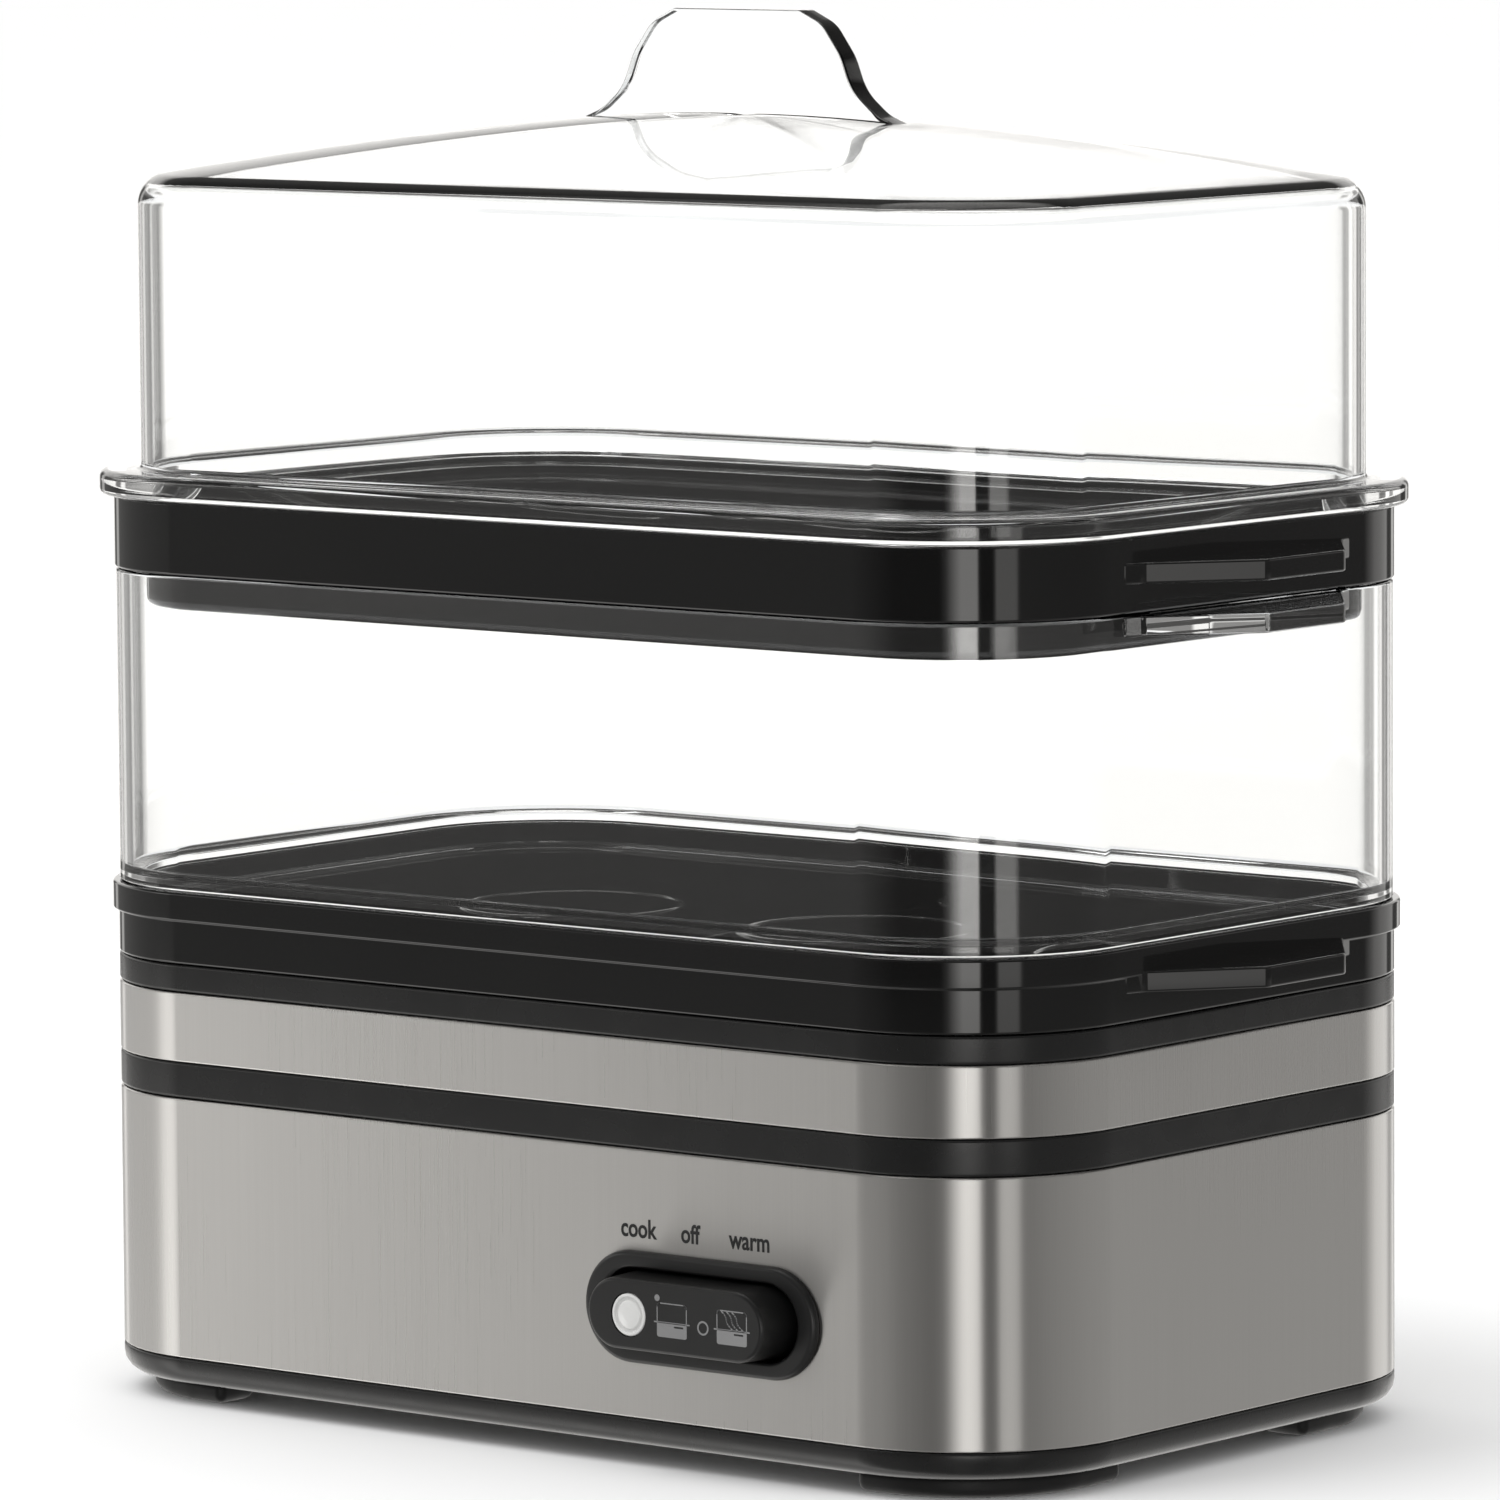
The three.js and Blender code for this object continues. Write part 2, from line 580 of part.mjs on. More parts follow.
// Grip moulded on the roof: a flat fin with hollow-curved flanks.
function gripFin() {
  const shape = new THREE.Shape();
  const { top, topHalf, neckHalf, neckZ, rootHalf, rootZ } = FIN;
  const flankZ = rootZ + 1;
  shape.moveTo(-rootHalf, rootZ);
  shape.lineTo(rootHalf, rootZ);
  shape.bezierCurveTo(rootHalf - 6, flankZ, neckHalf + 3, flankZ + 2, neckHalf, neckZ);
  shape.bezierCurveTo(neckHalf - 1.5, neckZ + 4, topHalf + 4, top, topHalf, top);
  shape.lineTo(-topHalf, top);
  shape.bezierCurveTo(-topHalf - 4, top, -neckHalf + 1.5, neckZ + 4, -neckHalf, neckZ);
  shape.bezierCurveTo(-neckHalf - 3, flankZ + 2, -rootHalf + 6, flankZ, -rootHalf, rootZ);
  return frontPrism(shape, -FIN.thickness / 2, FIN.thickness / 2, 5);
}

function lid() {
  const flangeBottom = UPPER_TRAY_Z + TRAY.band + GAP;
  const flangeTop = flangeBottom + LID.flange;
  const lipOuter = TRAY.wall + GAP;
  return prism(plan(-LID.proud), flangeBottom, flangeTop)
    .add(prism(plan(lipOuter), flangeBottom - 2, flangeBottom + 1))
    .add(lidSkin(0, flangeTop - 1))
    .add(gripFin())
    .subtract(lidSkin(LID.wall, flangeTop - 2.5))
    .subtract(prism(plan(LID.inset + LID.wall - 0.1), flangeBottom - 3, flangeTop - 1.5));
}

addFeet();
addBottomCover();
addCoverScrews();
addSteelAndRings();
addInnerHousing();
addBowl();
addHeater();
addSwitch();
addMainsEntry();
addLeads();

for (const [name, z] of [["lower_tray", LOWER_TRAY_Z], ["upper_tray", UPPER_TRAY_Z]]) {
  const place = new THREE.Group();
  place.position.z = z;
  part.add(place);
  add(name, eggTray(), MATERIAL.glossBlack, place);
}
add("collar", collar(), MATERIAL.clear);
add("lid", lid(), MATERIAL.clear);

export default part;
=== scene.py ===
"""Looks of the two-tier egg cooker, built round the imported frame. Shapes are drawn in millimetres."""

import math

import bmesh
import bpy
from mathutils import Matrix, Vector


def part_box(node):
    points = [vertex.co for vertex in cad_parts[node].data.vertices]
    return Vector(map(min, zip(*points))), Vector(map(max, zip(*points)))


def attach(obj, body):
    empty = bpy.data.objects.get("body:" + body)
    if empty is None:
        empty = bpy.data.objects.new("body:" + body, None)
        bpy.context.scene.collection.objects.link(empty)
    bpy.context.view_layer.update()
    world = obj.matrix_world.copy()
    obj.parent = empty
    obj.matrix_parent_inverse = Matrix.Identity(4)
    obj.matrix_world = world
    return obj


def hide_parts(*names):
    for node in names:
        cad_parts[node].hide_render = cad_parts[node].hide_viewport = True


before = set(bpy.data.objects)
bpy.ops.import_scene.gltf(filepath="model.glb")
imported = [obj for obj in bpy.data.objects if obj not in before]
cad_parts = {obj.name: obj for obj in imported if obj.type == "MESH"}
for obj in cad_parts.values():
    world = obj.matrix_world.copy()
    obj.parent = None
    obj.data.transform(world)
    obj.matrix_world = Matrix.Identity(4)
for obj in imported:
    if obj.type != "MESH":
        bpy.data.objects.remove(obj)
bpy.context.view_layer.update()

MM = 0.001
SEAM = 0.06  # what is left open between stacked pieces

# Plan of the body, and the corner that every layer shares.
CORNER = 27.0
CORNER_STEPS = 14

# The photograph's viewpoint, as a camera set up for it.
CAMERA = {
    "azimuth": 39.008,
    "elevation": 5.969,
    "roll": -0.385,
    "lens": 240.87,
    "place": (0.97318, -1.20105, 0.26337),
}


# ---- Reading the frame ----
def low(node):
    """Lowest corner of a CAD node, in millimetres."""
    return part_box(node)[0] / MM


def high(node):
    """Highest corner of a CAD node, in millimetres."""
    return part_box(node)[1] / MM


def middle(node):
    return (low(node) + high(node)) / 2


SHELL_SIZE = high("lower_steel_shell") - low("lower_steel_shell")
WIDTH, DEPTH = SHELL_SIZE.x, SHELL_SIZE.y
FRONT = -DEPTH / 2


# ---- Outlines ----
def rounded_outline(width, depth, radius, steps=CORNER_STEPS, along=1):
    """Points round a rectangle with round corners, anticlockwise from the right side.

    steps is the number of parts of each corner, and along that of each straight side.
    """
    radius = max(radius, 0.01)
    half_x = width / 2 - radius
    half_y = depth / 2 - radius
    arcs = []
    for quarter, (sx, sy) in enumerate(((1, 1), (-1, 1), (-1, -1), (1, -1))):
        angles = [(quarter + step / steps) * math.pi / 2 for step in range(steps + 1)]
        arcs.append(
            [Vector((sx * half_x + radius * math.cos(t), sy * half_y + radius * math.sin(t))) for t in angles]
        )
    points = []
    for arc, following in zip(arcs, arcs[1:] + arcs[:1]):
        points += arc
        points += [arc[-1].lerp(following[0], part / along) for part in range(1, along)]
    return [(point.x, point.y) for point in points]


def plan_ring(inset, z, along=1):
    """The body's outline drawn in by an inset, at a height."""
    outline = rounded_outline(WIDTH - 2 * inset, DEPTH - 2 * inset, CORNER - inset, along=along)
    return [(x, y, z) for x, y in outline]


def rounded_path(corners, closed=False, steps=4):
    """Points along (a, b, radius) corners, with each corner turned into an arc of its radius."""
    count = len(corners)
    points = []
    for i, corner in enumerate(corners):
        here = Vector(corner[:2])
        radius = corner[2] if len(corner) > 2 else 0
        if radius == 0 or (not closed and i in (0, count - 1)):
            points.append(here)
            continue
        back = (Vector(corners[i - 1][:2]) - here).normalized()
        ahead = (Vector(corners[(i + 1) % count][:2]) - here).normalized()
        half = back.angle(ahead) / 2
        centre = here + (back + ahead).normalized() * radius / math.sin(half)
        start = here + back * radius / math.tan(half) - centre
        end = here + ahead * radius / math.tan(half) - centre
        turn = start.angle_signed(end)
        for step in range(steps + 1):
            swing = Matrix.Rotation(-turn * step / steps, 2)
            points.append(centre + swing @ start)
    return points


# ---- Meshes ----
def skin(rings, closed=False):
    """A closed surface through rings of points: joined end to end, or capped at both ends."""
    bm = bmesh.new()
    loops = [[bm.verts.new(point) for point in ring] for ring in rings]
    count = len(loops[0])
    following = loops[1:] + loops[:1] if closed else loops[1:]
    for one, two in zip(loops, following):
        for i in range(count):
            j = (i + 1) % count
            bm.faces.new((one[i], one[j], two[j], two[i]))
    if not closed:
        bm.faces.new(loops[0][::-1])
        bm.faces.new(loops[-1])
    return tidied(bm)


def tidied(bm):
    bmesh.ops.remove_doubles(bm, verts=bm.verts, dist=1e-3)
    bmesh.ops.dissolve_degenerate(bm, edges=bm.edges, dist=1e-4)
    bmesh.ops.recalc_face_normals(bm, faces=bm.faces)
    return bm


def wall(corners):
    """A wall that runs round the body, from the (inset, height, radius) corners of its section."""
    return skin([plan_ring(inset, z) for inset, z in rounded_path(corners, True)], closed=True)


def pan(corners):
    """A pan with the body's plan, from the underside's middle round its edge to the inside's middle."""
    return skin([plan_ring(inset, z) for inset, z in rounded_path(corners)])


def turned(corners, segments=48, steps=4, closed=False):
    """A solid turned about Z from (radius, height, fillet) corners."""
    rings = []
    for radius, z in rounded_path(corners, closed, steps):
        angles = [2 * math.pi * i / segments for i in range(segments)]
        rings.append([(radius * math.cos(t), radius * math.sin(t), z) for t in angles])
    return skin(rings, closed)


def slab(outline, bottom, top, bevel=0.0, steps=3):
    """An upright slab of an outline, with its sharp edges rounded off."""
    bm = bmesh.new()
    lower = [bm.verts.new((x, y, bottom)) for x, y in outline]
    upper = [bm.verts.new((x, y, top)) for x, y in outline]
    count = len(outline)
    for i in range(count):
        j = (i + 1) % count
        bm.faces.new((lower[i], lower[j], upper[j], upper[i]))
    bm.faces.new(lower[::-1])
    bm.faces.new(upper)
    tidied(bm)
    if bevel:
        sharp = [e for e in bm.edges if e.calc_face_angle(0) > math.radians(35)]
        bmesh.ops.bevel(
            bm, geom=sharp, offset=bevel, segments=steps, profile=0.5, affect="EDGES", clamp_overlap=True
        )
    return bm


def moved(bm, x=0.0, y=0.0, z=0.0):
    bmesh.ops.translate(bm, verts=bm.verts, vec=(x, y, z))
    return bm


def facing_front(bm):
    """Turns a shape drawn in plan so that it stands upright and what was its top faces the front."""
    bmesh.ops.rotate(bm, verts=bm.verts, matrix=Matrix.Rotation(math.pi / 2, 3, "X"))
    return bm


def facing_back(bm):
    bmesh.ops.rotate(bm, verts=bm.verts, matrix=Matrix.Rotation(-math.pi / 2, 3, "X"))
    return bm


def turned_round(bm):
    bmesh.ops.rotate(bm, verts=bm.verts, matrix=Matrix.Rotation(math.pi, 3, "Z"))
    return bm


def together(*shapes):
    """Several shapes as one, without joining their surfaces."""
    mesh = bpy.data.meshes.new("gathered")
    result = bmesh.new()
    for shape in shapes:
        shape.to_mesh(mesh)
        result.from_mesh(mesh)
        shape.free()
    bpy.data.meshes.remove(mesh)
    return result


def boolean(base, tool, operation):
    """Cuts or joins two closed shapes, and returns the result."""
    held = []
    for shape in (base, tool):
        mesh = bpy.data.meshes.new("operand")
        shape.to_mesh(mesh)
        shape.free()
        ob = bpy.data.objects.new("operand", mesh)
        bpy.context.scene.collection.objects.link(ob)
        held.append(ob)
    modifier = held[0].modifiers.new("boolean", "BOOLEAN")
    modifier.operation = operation
    modifier.solver = "MANIFOLD"
    modifier.object = held[1]
    result = bmesh.new()
    result.from_object(held[0], bpy.context.evaluated_depsgraph_get())
    for ob in held:
        mesh = ob.data
        bpy.data.objects.remove(ob)
        bpy.data.meshes.remove(mesh)
    return tidied(result)


def joined(shape, *others):
    for other in others:
        shape = boolean(shape, other, "UNION")
    return shape


def cut(shape, *tools):
    for tool in tools:
        shape = boolean(shape, tool, "DIFFERENCE")
    return shape


def piece(name, bm, material, body, slot, *nodes, smooth_below=38):
    """Puts a finished shape in the scene, riding on its body and standing for its CAD nodes."""
    bmesh.ops.scale(bm, vec=(MM, MM, MM), verts=bm.verts)
    mesh = bpy.data.meshes.new(name)
    bm.to_mesh(mesh)
    bm.free()
    mesh.materials.append(material)
    mesh.polygons.foreach_set("use_smooth", [True] * len(mesh.polygons))
    mesh.set_sharp_from_angle(angle=math.radians(smooth_below))
    ob = bpy.data.objects.new(name, mesh)
    bpy.context.scene.collection.objects.link(ob)
    weighted = ob.modifiers.new("weighted_normals", "WEIGHTED_NORMAL")
    weighted.keep_sharp = True
    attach(ob, body)
    if nodes:
        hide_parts(*nodes)


# ---- Materials ----
def new_material(name, **values):
    """A principled material. Socket names are written with _ for each space."""
    material = bpy.data.materials.new(name)
    material.use_nodes = True
    shader = material.node_tree.nodes["Principled BSDF"]
    for socket, value in values.items():
        shader.inputs[socket.replace("_", " ")].default_value = value
    return material, material.node_tree, shader


def noise(tree, scale, stretch=(1, 1, 1), detail=3.0, roughness=0.5):
    """Noise over the object's own coordinates, with scale times stretch features per metre."""
    place = tree.nodes.new("ShaderNodeTexCoord")
    mapping = tree.nodes.new("ShaderNodeMapping")
    mapping.inputs["Scale"].default_value = stretch
    texture = tree.nodes.new("ShaderNodeTexNoise")
    texture.inputs["Scale"].default_value = scale
    texture.inputs["Detail"].default_value = detail
    texture.inputs["Roughness"].default_value = roughness
    tree.links.new(place.outputs["Object"], mapping.inputs["Vector"])
    tree.links.new(mapping.outputs["Vector"], texture.inputs["Vector"])
    return texture.outputs["Fac"]


def spread(tree, value, lowest, highest, from_low=0.3, from_high=0.7):
    """A noise value stretched over a range."""
    node = tree.nodes.new("ShaderNodeMapRange")
    node.inputs["From Min"].default_value = from_low
    node.inputs["From Max"].default_value = from_high
    node.inputs["To Min"].default_value = lowest
    node.inputs["To Max"].default_value = highest
    tree.links.new(value, node.inputs["Value"])
    return node.outputs["Result"]


def math_node(tree, operation, first, second):
    """first and second are outputs of other nodes, or numbers."""
    node = tree.nodes.new("ShaderNodeMath")
    node.operation = operation
    for socket, value in zip(node.inputs, (first, second)):
        if isinstance(value, (int, float)):
            socket.default_value = value
        else:
            tree.links.new(value, socket)
    return node.outputs["Value"]


def blended(tree, factor, first, second):
    """A colour between two, by a factor."""
    node = tree.nodes.new("ShaderNodeMix")
    node.data_type = "RGBA"
    node.inputs["A"].default_value = (*first, 1)
    node.inputs["B"].default_value = (*second, 1)
    tree.links.new(factor, node.inputs["Factor"])
    return node.outputs["Result"]


def mixed(tree, mode, factor, first, second):
    """Two colours put together. Each value is another node's output, or a number for the factor."""
    node = tree.nodes.new("ShaderNodeMix")
    node.data_type = "RGBA"
    node.blend_type = mode
    if isinstance(factor, (int, float)):
        node.inputs["Factor"].default_value = factor
    else:
        tree.links.new(factor, node.inputs["Factor"])
    tree.links.new(first, node.inputs["A"])
    tree.links.new(second, node.inputs["B"])
    return node.outputs["Result"]


def bump(tree, shader, height, strength, distance=0.0001):
    node = tree.nodes.new("ShaderNodeBump")
    node.inputs["Strength"].default_value = strength
    node.inputs["Distance"].default_value = distance
    tree.links.new(height, node.inputs["Height"])
    tree.links.new(node.outputs["Normal"], shader.inputs["Normal"])


def moulded_plastic(name, dark, light, shine, grain, grain_scale, specular=0.5, coat=0.0):
    """Plastic whose shade and gloss drift slightly, with a fine moulded grain."""
    material, tree, shader = new_material(name, Specular_IOR_Level=specular, Coat_Weight=coat)
    shader.inputs["Coat Roughness"].default_value = 0.03
    drift = noise(tree, 40, detail=2)
    tree.links.new(blended(tree, spread(tree, drift, 0, 1), dark, light), shader.inputs["Base Color"])
    tree.links.new(spread(tree, noise(tree, 180), *shine), shader.inputs["Roughness"])
    bump(tree, shader, noise(tree, grain_scale, detail=2), grain)
    return material


def brushed_steel(name):
    """Stainless sheet with a fine upright brushing."""
    material, tree, shader = new_material(name, Metallic=1.0, Anisotropic=1.0, Anisotropic_Rotation=0.25)
    fine = noise(tree, 1, (7000, 7000, 30), detail=3)
    broad = noise(tree, 1, (420, 420, 6), detail=2)
    drift = noise(tree, 14, detail=1)
    shade = blended(tree, spread(tree, fine, 0, 1), (0.529, 0.521, 0.508), (0.547, 0.539, 0.526))
    streaks = blended(tree, spread(tree, broad, 0, 1), (0.983, 0.981, 0.98), (1, 1, 1))
    tree.links.new(mixed(tree, "MULTIPLY", 0.5, shade, streaks), shader.inputs["Base Color"])
    shine = math_node(tree, "ADD", spread(tree, fine, 0.272, 0.298), spread(tree, drift, -0.01, 0.01))
    tree.links.new(shine, shader.inputs["Roughness"])
    tangent = tree.nodes.new("ShaderNodeTangent")
    tangent.direction_type = "RADIAL"
    tangent.axis = "Z"
    tree.links.new(tangent.outputs["Tangent"], shader.inputs["Tangent"])
    bump(tree, shader, fine, 0.012, 0.00003)
    return material


def clear_plastic(name):
    """Polished clear polymer. Lamps reach what is behind it."""
    material, tree, shader = new_material(name, Transmission_Weight=1.0, IOR=1.57)
    shader.inputs["Base Color"].default_value = (0.985, 0.99, 0.99, 1)
    tree.links.new(spread(tree, noise(tree, 90, detail=2), 0.0, 0.012), shader.inputs["Roughness"])
    bump(tree, shader, noise(tree, 30, detail=0), 0.03, 0.0004)
    clear = tree.nodes.new("ShaderNodeBsdfTransparent")
    clear.inputs["Color"].default_value = (0.97, 0.975, 0.975, 1)
    path = tree.nodes.new("ShaderNodeLightPath")
    either = tree.nodes.new("ShaderNodeMixShader")
    output = next(n for n in tree.nodes if n.type == "OUTPUT_MATERIAL")
    tree.links.new(path.outputs["Is Shadow Ray"], either.inputs[0])
    tree.links.new(shader.outputs["BSDF"], either.inputs[1])
    tree.links.new(clear.outputs["BSDF"], either.inputs[2])
    tree.links.new(either.outputs["Shader"], output.inputs["Surface"])
    return material


def flecked_coating(name):
    """Dark non-stick coating with a scatter of paler flecks."""
    material, tree, shader = new_material(name, Metallic=0.15, Specular_IOR_Level=0.45)
    cells = tree.nodes.new("ShaderNodeTexVoronoi")
    cells.inputs["Scale"].default_value = 900
    place = tree.nodes.new("ShaderNodeTexCoord")
    tree.links.new(place.outputs["Object"], cells.inputs["Vector"])
    fleck = spread(tree, cells.outputs["Distance"], 1, 0, 0.12, 0.2)
    colour = blended(tree, fleck, (0.022, 0.022, 0.024), (0.16, 0.16, 0.165))
    tree.links.new(colour, shader.inputs["Base Color"])
    tree.links.new(spread(tree, noise(tree, 160), 0.32, 0.46), shader.inputs["Roughness"])
    bump(tree, shader, noise(tree, 1400, detail=2), 0.12, 0.00006)
    return material


def plain_metal(name, dark, light, shine, scale=300):
    """Bare metal with fine tarnish."""
    material, tree, shader = new_material(name, Metallic=1.0)
    tarnish = spread(tree, noise(tree, scale), 0, 1)
    tree.links.new(blended(tree, tarnish, dark, light), shader.inputs["Base Color"])
    tree.links.new(spread(tree, noise(tree, scale * 2), *shine), shader.inputs["Roughness"])
    bump(tree, shader, noise(tree, scale * 8), 0.08, 0.00005)
    return material


STEEL = brushed_steel("brushed_steel")
GLOSS_BLACK = moulded_plastic(
    "gloss_black", (0.0014, 0.0014, 0.0015), (0.0022, 0.0022, 0.0022), (0.045, 0.065), 0.015, 300, 0.5
)
SATIN_BLACK = moulded_plastic(
    "satin_black", (0.0045, 0.0045, 0.0046), (0.0065, 0.0065, 0.0065), (0.24, 0.3), 0.06, 3800, 0.42
)
SWITCH_BLACK = moulded_plastic(
    "switch_black", (0.006, 0.006, 0.0062), (0.008, 0.008, 0.008), (0.3, 0.38), 0.08, 4500, 0.45
)
RUBBER = moulded_plastic("rubber", (0.005, 0.005, 0.005), (0.008, 0.008, 0.008), (0.45, 0.6), 0.2, 2600, 0.3)
CLEAR = clear_plastic("clear_plastic")
COATING = flecked_coating("non_stick_coating")
PEARL = moulded_plastic("pearl_lens", (0.52, 0.52, 0.51), (0.6, 0.6, 0.59), (0.16, 0.24), 0.03, 900, 0.5, 0.3)
PRINT_GREY = moulded_plastic("grey_print", (0.17, 0.17, 0.17), (0.2, 0.2, 0.2), (0.5, 0.6), 0.05, 2000, 0.3)
PRINT_BLACK = moulded_plastic(
    "black_print", (0.012, 0.012, 0.012), (0.02, 0.02, 0.02), (0.45, 0.6), 0.05, 2000, 0.3
)
SILICONE = moulded_plastic("silicone", (0.36, 0.34, 0.31), (0.44, 0.42, 0.39), (0.5, 0.62), 0.1, 1500, 0.3)
CERAMIC = moulded_plastic("ceramic", (0.68, 0.64, 0.56), (0.78, 0.74, 0.67), (0.4, 0.55), 0.1, 1200, 0.4)
RESIN = moulded_plastic(
    "switch_resin", (0.035, 0.024, 0.017), (0.06, 0.042, 0.03), (0.4, 0.55), 0.1, 1500, 0.4
)
ALUMINIUM = plain_metal("aluminium", (0.66, 0.66, 0.67), (0.78, 0.78, 0.79), (0.3, 0.45))
SHEATH = plain_metal("element_sheath", (0.12, 0.1, 0.085), (0.22, 0.2, 0.18), (0.4, 0.6))
ZINC = plain_metal("zinc", (0.5, 0.5, 0.51), (0.66, 0.66, 0.67), (0.22, 0.36), 900)
BRASS = plain_metal("brass", (0.55, 0.38, 0.14), (0.68, 0.5, 0.22), (0.2, 0.35), 700)
RED = moulded_plastic("red_sleeve", (0.36, 0.02, 0.015), (0.46, 0.035, 0.025), (0.4, 0.5), 0.1, 1800, 0.4)
BLUE = moulded_plastic("blue_sleeve", (0.02, 0.06, 0.28), (0.035, 0.09, 0.38), (0.4, 0.5), 0.1, 1800, 0.4)
WHITE = moulded_plastic("white_sleeve", (0.6, 0.58, 0.53), (0.72, 0.7, 0.65), (0.5, 0.6), 0.2, 1800, 0.4)


# ---- Base ----
CORNERS = ("front_left", "front_right", "rear_left", "rear_right")
MIDDLE_INSET = 40  # where a pan's flat middle is closed by one face
PAD = {"inset": 4.8, "width": 8.2, "round": 1.4, "sunk": 0.4}


def pad_outline(inner_x, inner_y):
    """A foot's plan at the right rear: a strip bent round the corner, as far as inner_x and inner_y."""
    centre_x = WIDTH / 2 - CORNER
    centre_y = DEPTH / 2 - CORNER
    outer = CORNER - PAD["inset"]
    inner = outer - PAD["width"]
    quarter = [math.pi / 2 * i / CORNER_STEPS for i in range(CORNER_STEPS + 1)]
    return [
        (inner_x, DEPTH / 2 - PAD["inset"]),
        *[(centre_x + outer * math.sin(t), centre_y + outer * math.cos(t)) for t in quarter],
        (centre_x + outer, inner_y),
        (centre_x + inner, inner_y),
        *[(centre_x + inner * math.sin(t), centre_y + inner * math.cos(t)) for t in quarter[::-1]],
        (inner_x, centre_y + inner),
    ]


def add_feet():
    """Curved pads under the four corners."""
    top = low("bottom_cover").z + PAD["sunk"]
    for corner in CORNERS:
        node = f"foot_{corner}"
        sx = 1 if corner.endswith("right") else -1
        sy = 1 if corner.startswith("rear") else -1
        near, far = low(node), high(node)
        inner_x = min(abs(near.x), abs(far.x))
        inner_y = min(abs(near.y), abs(far.y))
        outline = [(sx * x, sy * y) for x, y in pad_outline(inner_x, inner_y)]
        pad = slab(outline, 0, top, PAD["round"], 5)
        piece(f"pad_{corner}", pad, RUBBER, "base", "rubber", node)


SCREW_WELL = 3.7


def add_bottom_cover():
    """Shallow pan with a rounded edge, a sunk plate area and a well for each screw."""
    bottom, top = low("bottom_cover").z, low("lower_steel_shell").z - SEAM
    floor = bottom + 2.2
    cover = pan(
        [
            (MIDDLE_INSET, bottom),
            (0, bottom, 3.0),
            (0, top, 0.45),
            (3, top, 0.4),
            (3, floor, 0.5),
            (MIDDLE_INSET, floor),
        ]
    )
    plate = slab(rounded_outline(64, 30, 3, 6), bottom - 1, bottom + 0.4)
    wells = []
    for corner in CORNERS:
        centre = middle(f"cover_screw_{corner}")
        section = [(0, bottom - 1), (SCREW_WELL, bottom - 1), (SCREW_WELL, floor - 0.2), (0, floor - 0.2)]
        wells.append(moved(turned(section), centre.x, centre.y))
    cover = cut(cover, plate, *wells)
    piece("base_pan", cover, SATIN_BLACK, "base", "satin_black_plastic", "bottom_cover")


def add_cover_screws():
    """Pan-head screws with a cross recess."""
    for corner in CORNERS:
        node = f"cover_screw_{corner}"
        centre = middle(node)
        bottom, top = low(node).z, high(node).z
        head = bottom + 1.7
        section = [
            (0, bottom),
            (3.2, bottom, 0.8),
            (3.2, head, 0.1),
            (1.4, head, 0.2),
            (1.4, top, 0.5),
            (0, top),
        ]
        cross = [
            slab(rounded_outline(width, depth, 0.2, 2), bottom - 1, bottom + 1)
            for width, depth in ((3.6, 0.9), (0.9, 3.6))
        ]
        screw = cut(turned(section, 32), *cross)
        piece(f"pan_screw_{corner}", moved(screw, centre.x, centre.y), ZINC, "base", "zinc_screw", node)


def switch_hole():
    """The cut-out in the front wall that the switch's neck passes through."""
    centre = middle("switch_bezel")
    hole = slab(rounded_outline(41.4, 15.2, 7.6, 10), 40, 70)
    return moved(facing_front(hole), centre.x, 0, centre.z)


def gland_hole():
    centre = middle("cord_gland")
    hole = turned([(0, 40), (5.3, 40), (5.3, 70), (0, 70)])
    return moved(facing_back(hole), centre.x, 0, centre.z)


def add_steel():
    """Two wrapped bands of sheet, each with its cut edges turned in slightly."""
    sheet = 0.8
    for name, node, above in (
        ("steel_wrap", "lower_steel_shell", "middle_trim_ring"),
        ("steel_band", "upper_steel_band", "top_trim_ring"),
    ):
        bottom, top = low(node).z, low(above).z - SEAM
        band = wall([(0, bottom, 0.3), (0, top, 0.38), (sheet, top, 0.2), (sheet, bottom, 0.2)])
        if node == "lower_steel_shell":
            band = cut(band, switch_hole(), gland_hole())
        piece(name, band, STEEL, "base", "brushed_steel", node)


def add_trim_rings():
    for name, node, above in (
        ("middle_ring", "middle_trim_ring", "upper_steel_band"),
        ("rim_ring", "top_trim_ring", "lower_tray"),
    ):
        bottom = low(node).z
        top = high(node).z if above == "lower_tray" else low(above).z - SEAM
        ring = wall([(0.05, bottom, 0.55), (0.05, top, 0.55), (1.1, top, 0.3), (1.1, bottom, 0.3)])
        piece(name, ring, SATIN_BLACK, "base", "satin_black_plastic", node)


def add_bowl():
    """Stepped water bowl with two raised beads round the heated middle."""
    bottom, top = low("heating_plate").z, high("heating_plate").z
    sheet = 1.2
    ledge = bottom + 8
    bowl = pan(
        [
            (MIDDLE_INSET, bottom),
            (14.8, bottom, 2.8),
            (14.8, ledge, 1.2),
            (3.4, ledge, 2.4),
            (3.4, top - 1, 0.4),
            (1.3, top - 1, 0.2),
            (1.3, top, 0.4),
            (4.6, top, 1.0),
            (4.6, ledge + sheet, 1.6),
            (16, ledge + sheet, 1.8),
            (16, bottom + sheet, 2.2),
            (MIDDLE_INSET, bottom + sheet),
        ]
    )
    low_z, high_z = bottom + sheet - 0.5, bottom + sheet + 0.5
    for radius in (18, 27):
        inner, outer = radius - 1.1, radius + 1.1
        bead = turned(
            [(inner, low_z), (inner, high_z, 0.4), (outer, high_z, 0.4), (outer, low_z)], 72, closed=True
        )
        bowl = joined(bowl, bead)
    piece("water_bowl", bowl, COATING, "base", "non_stick_coating", "heating_plate")


# ---- Switch ----
BEZEL = {"width": 44.3, "height": 17.0, "opening_width": 37.4, "opening_height": 11.8, "proud": 1.3}


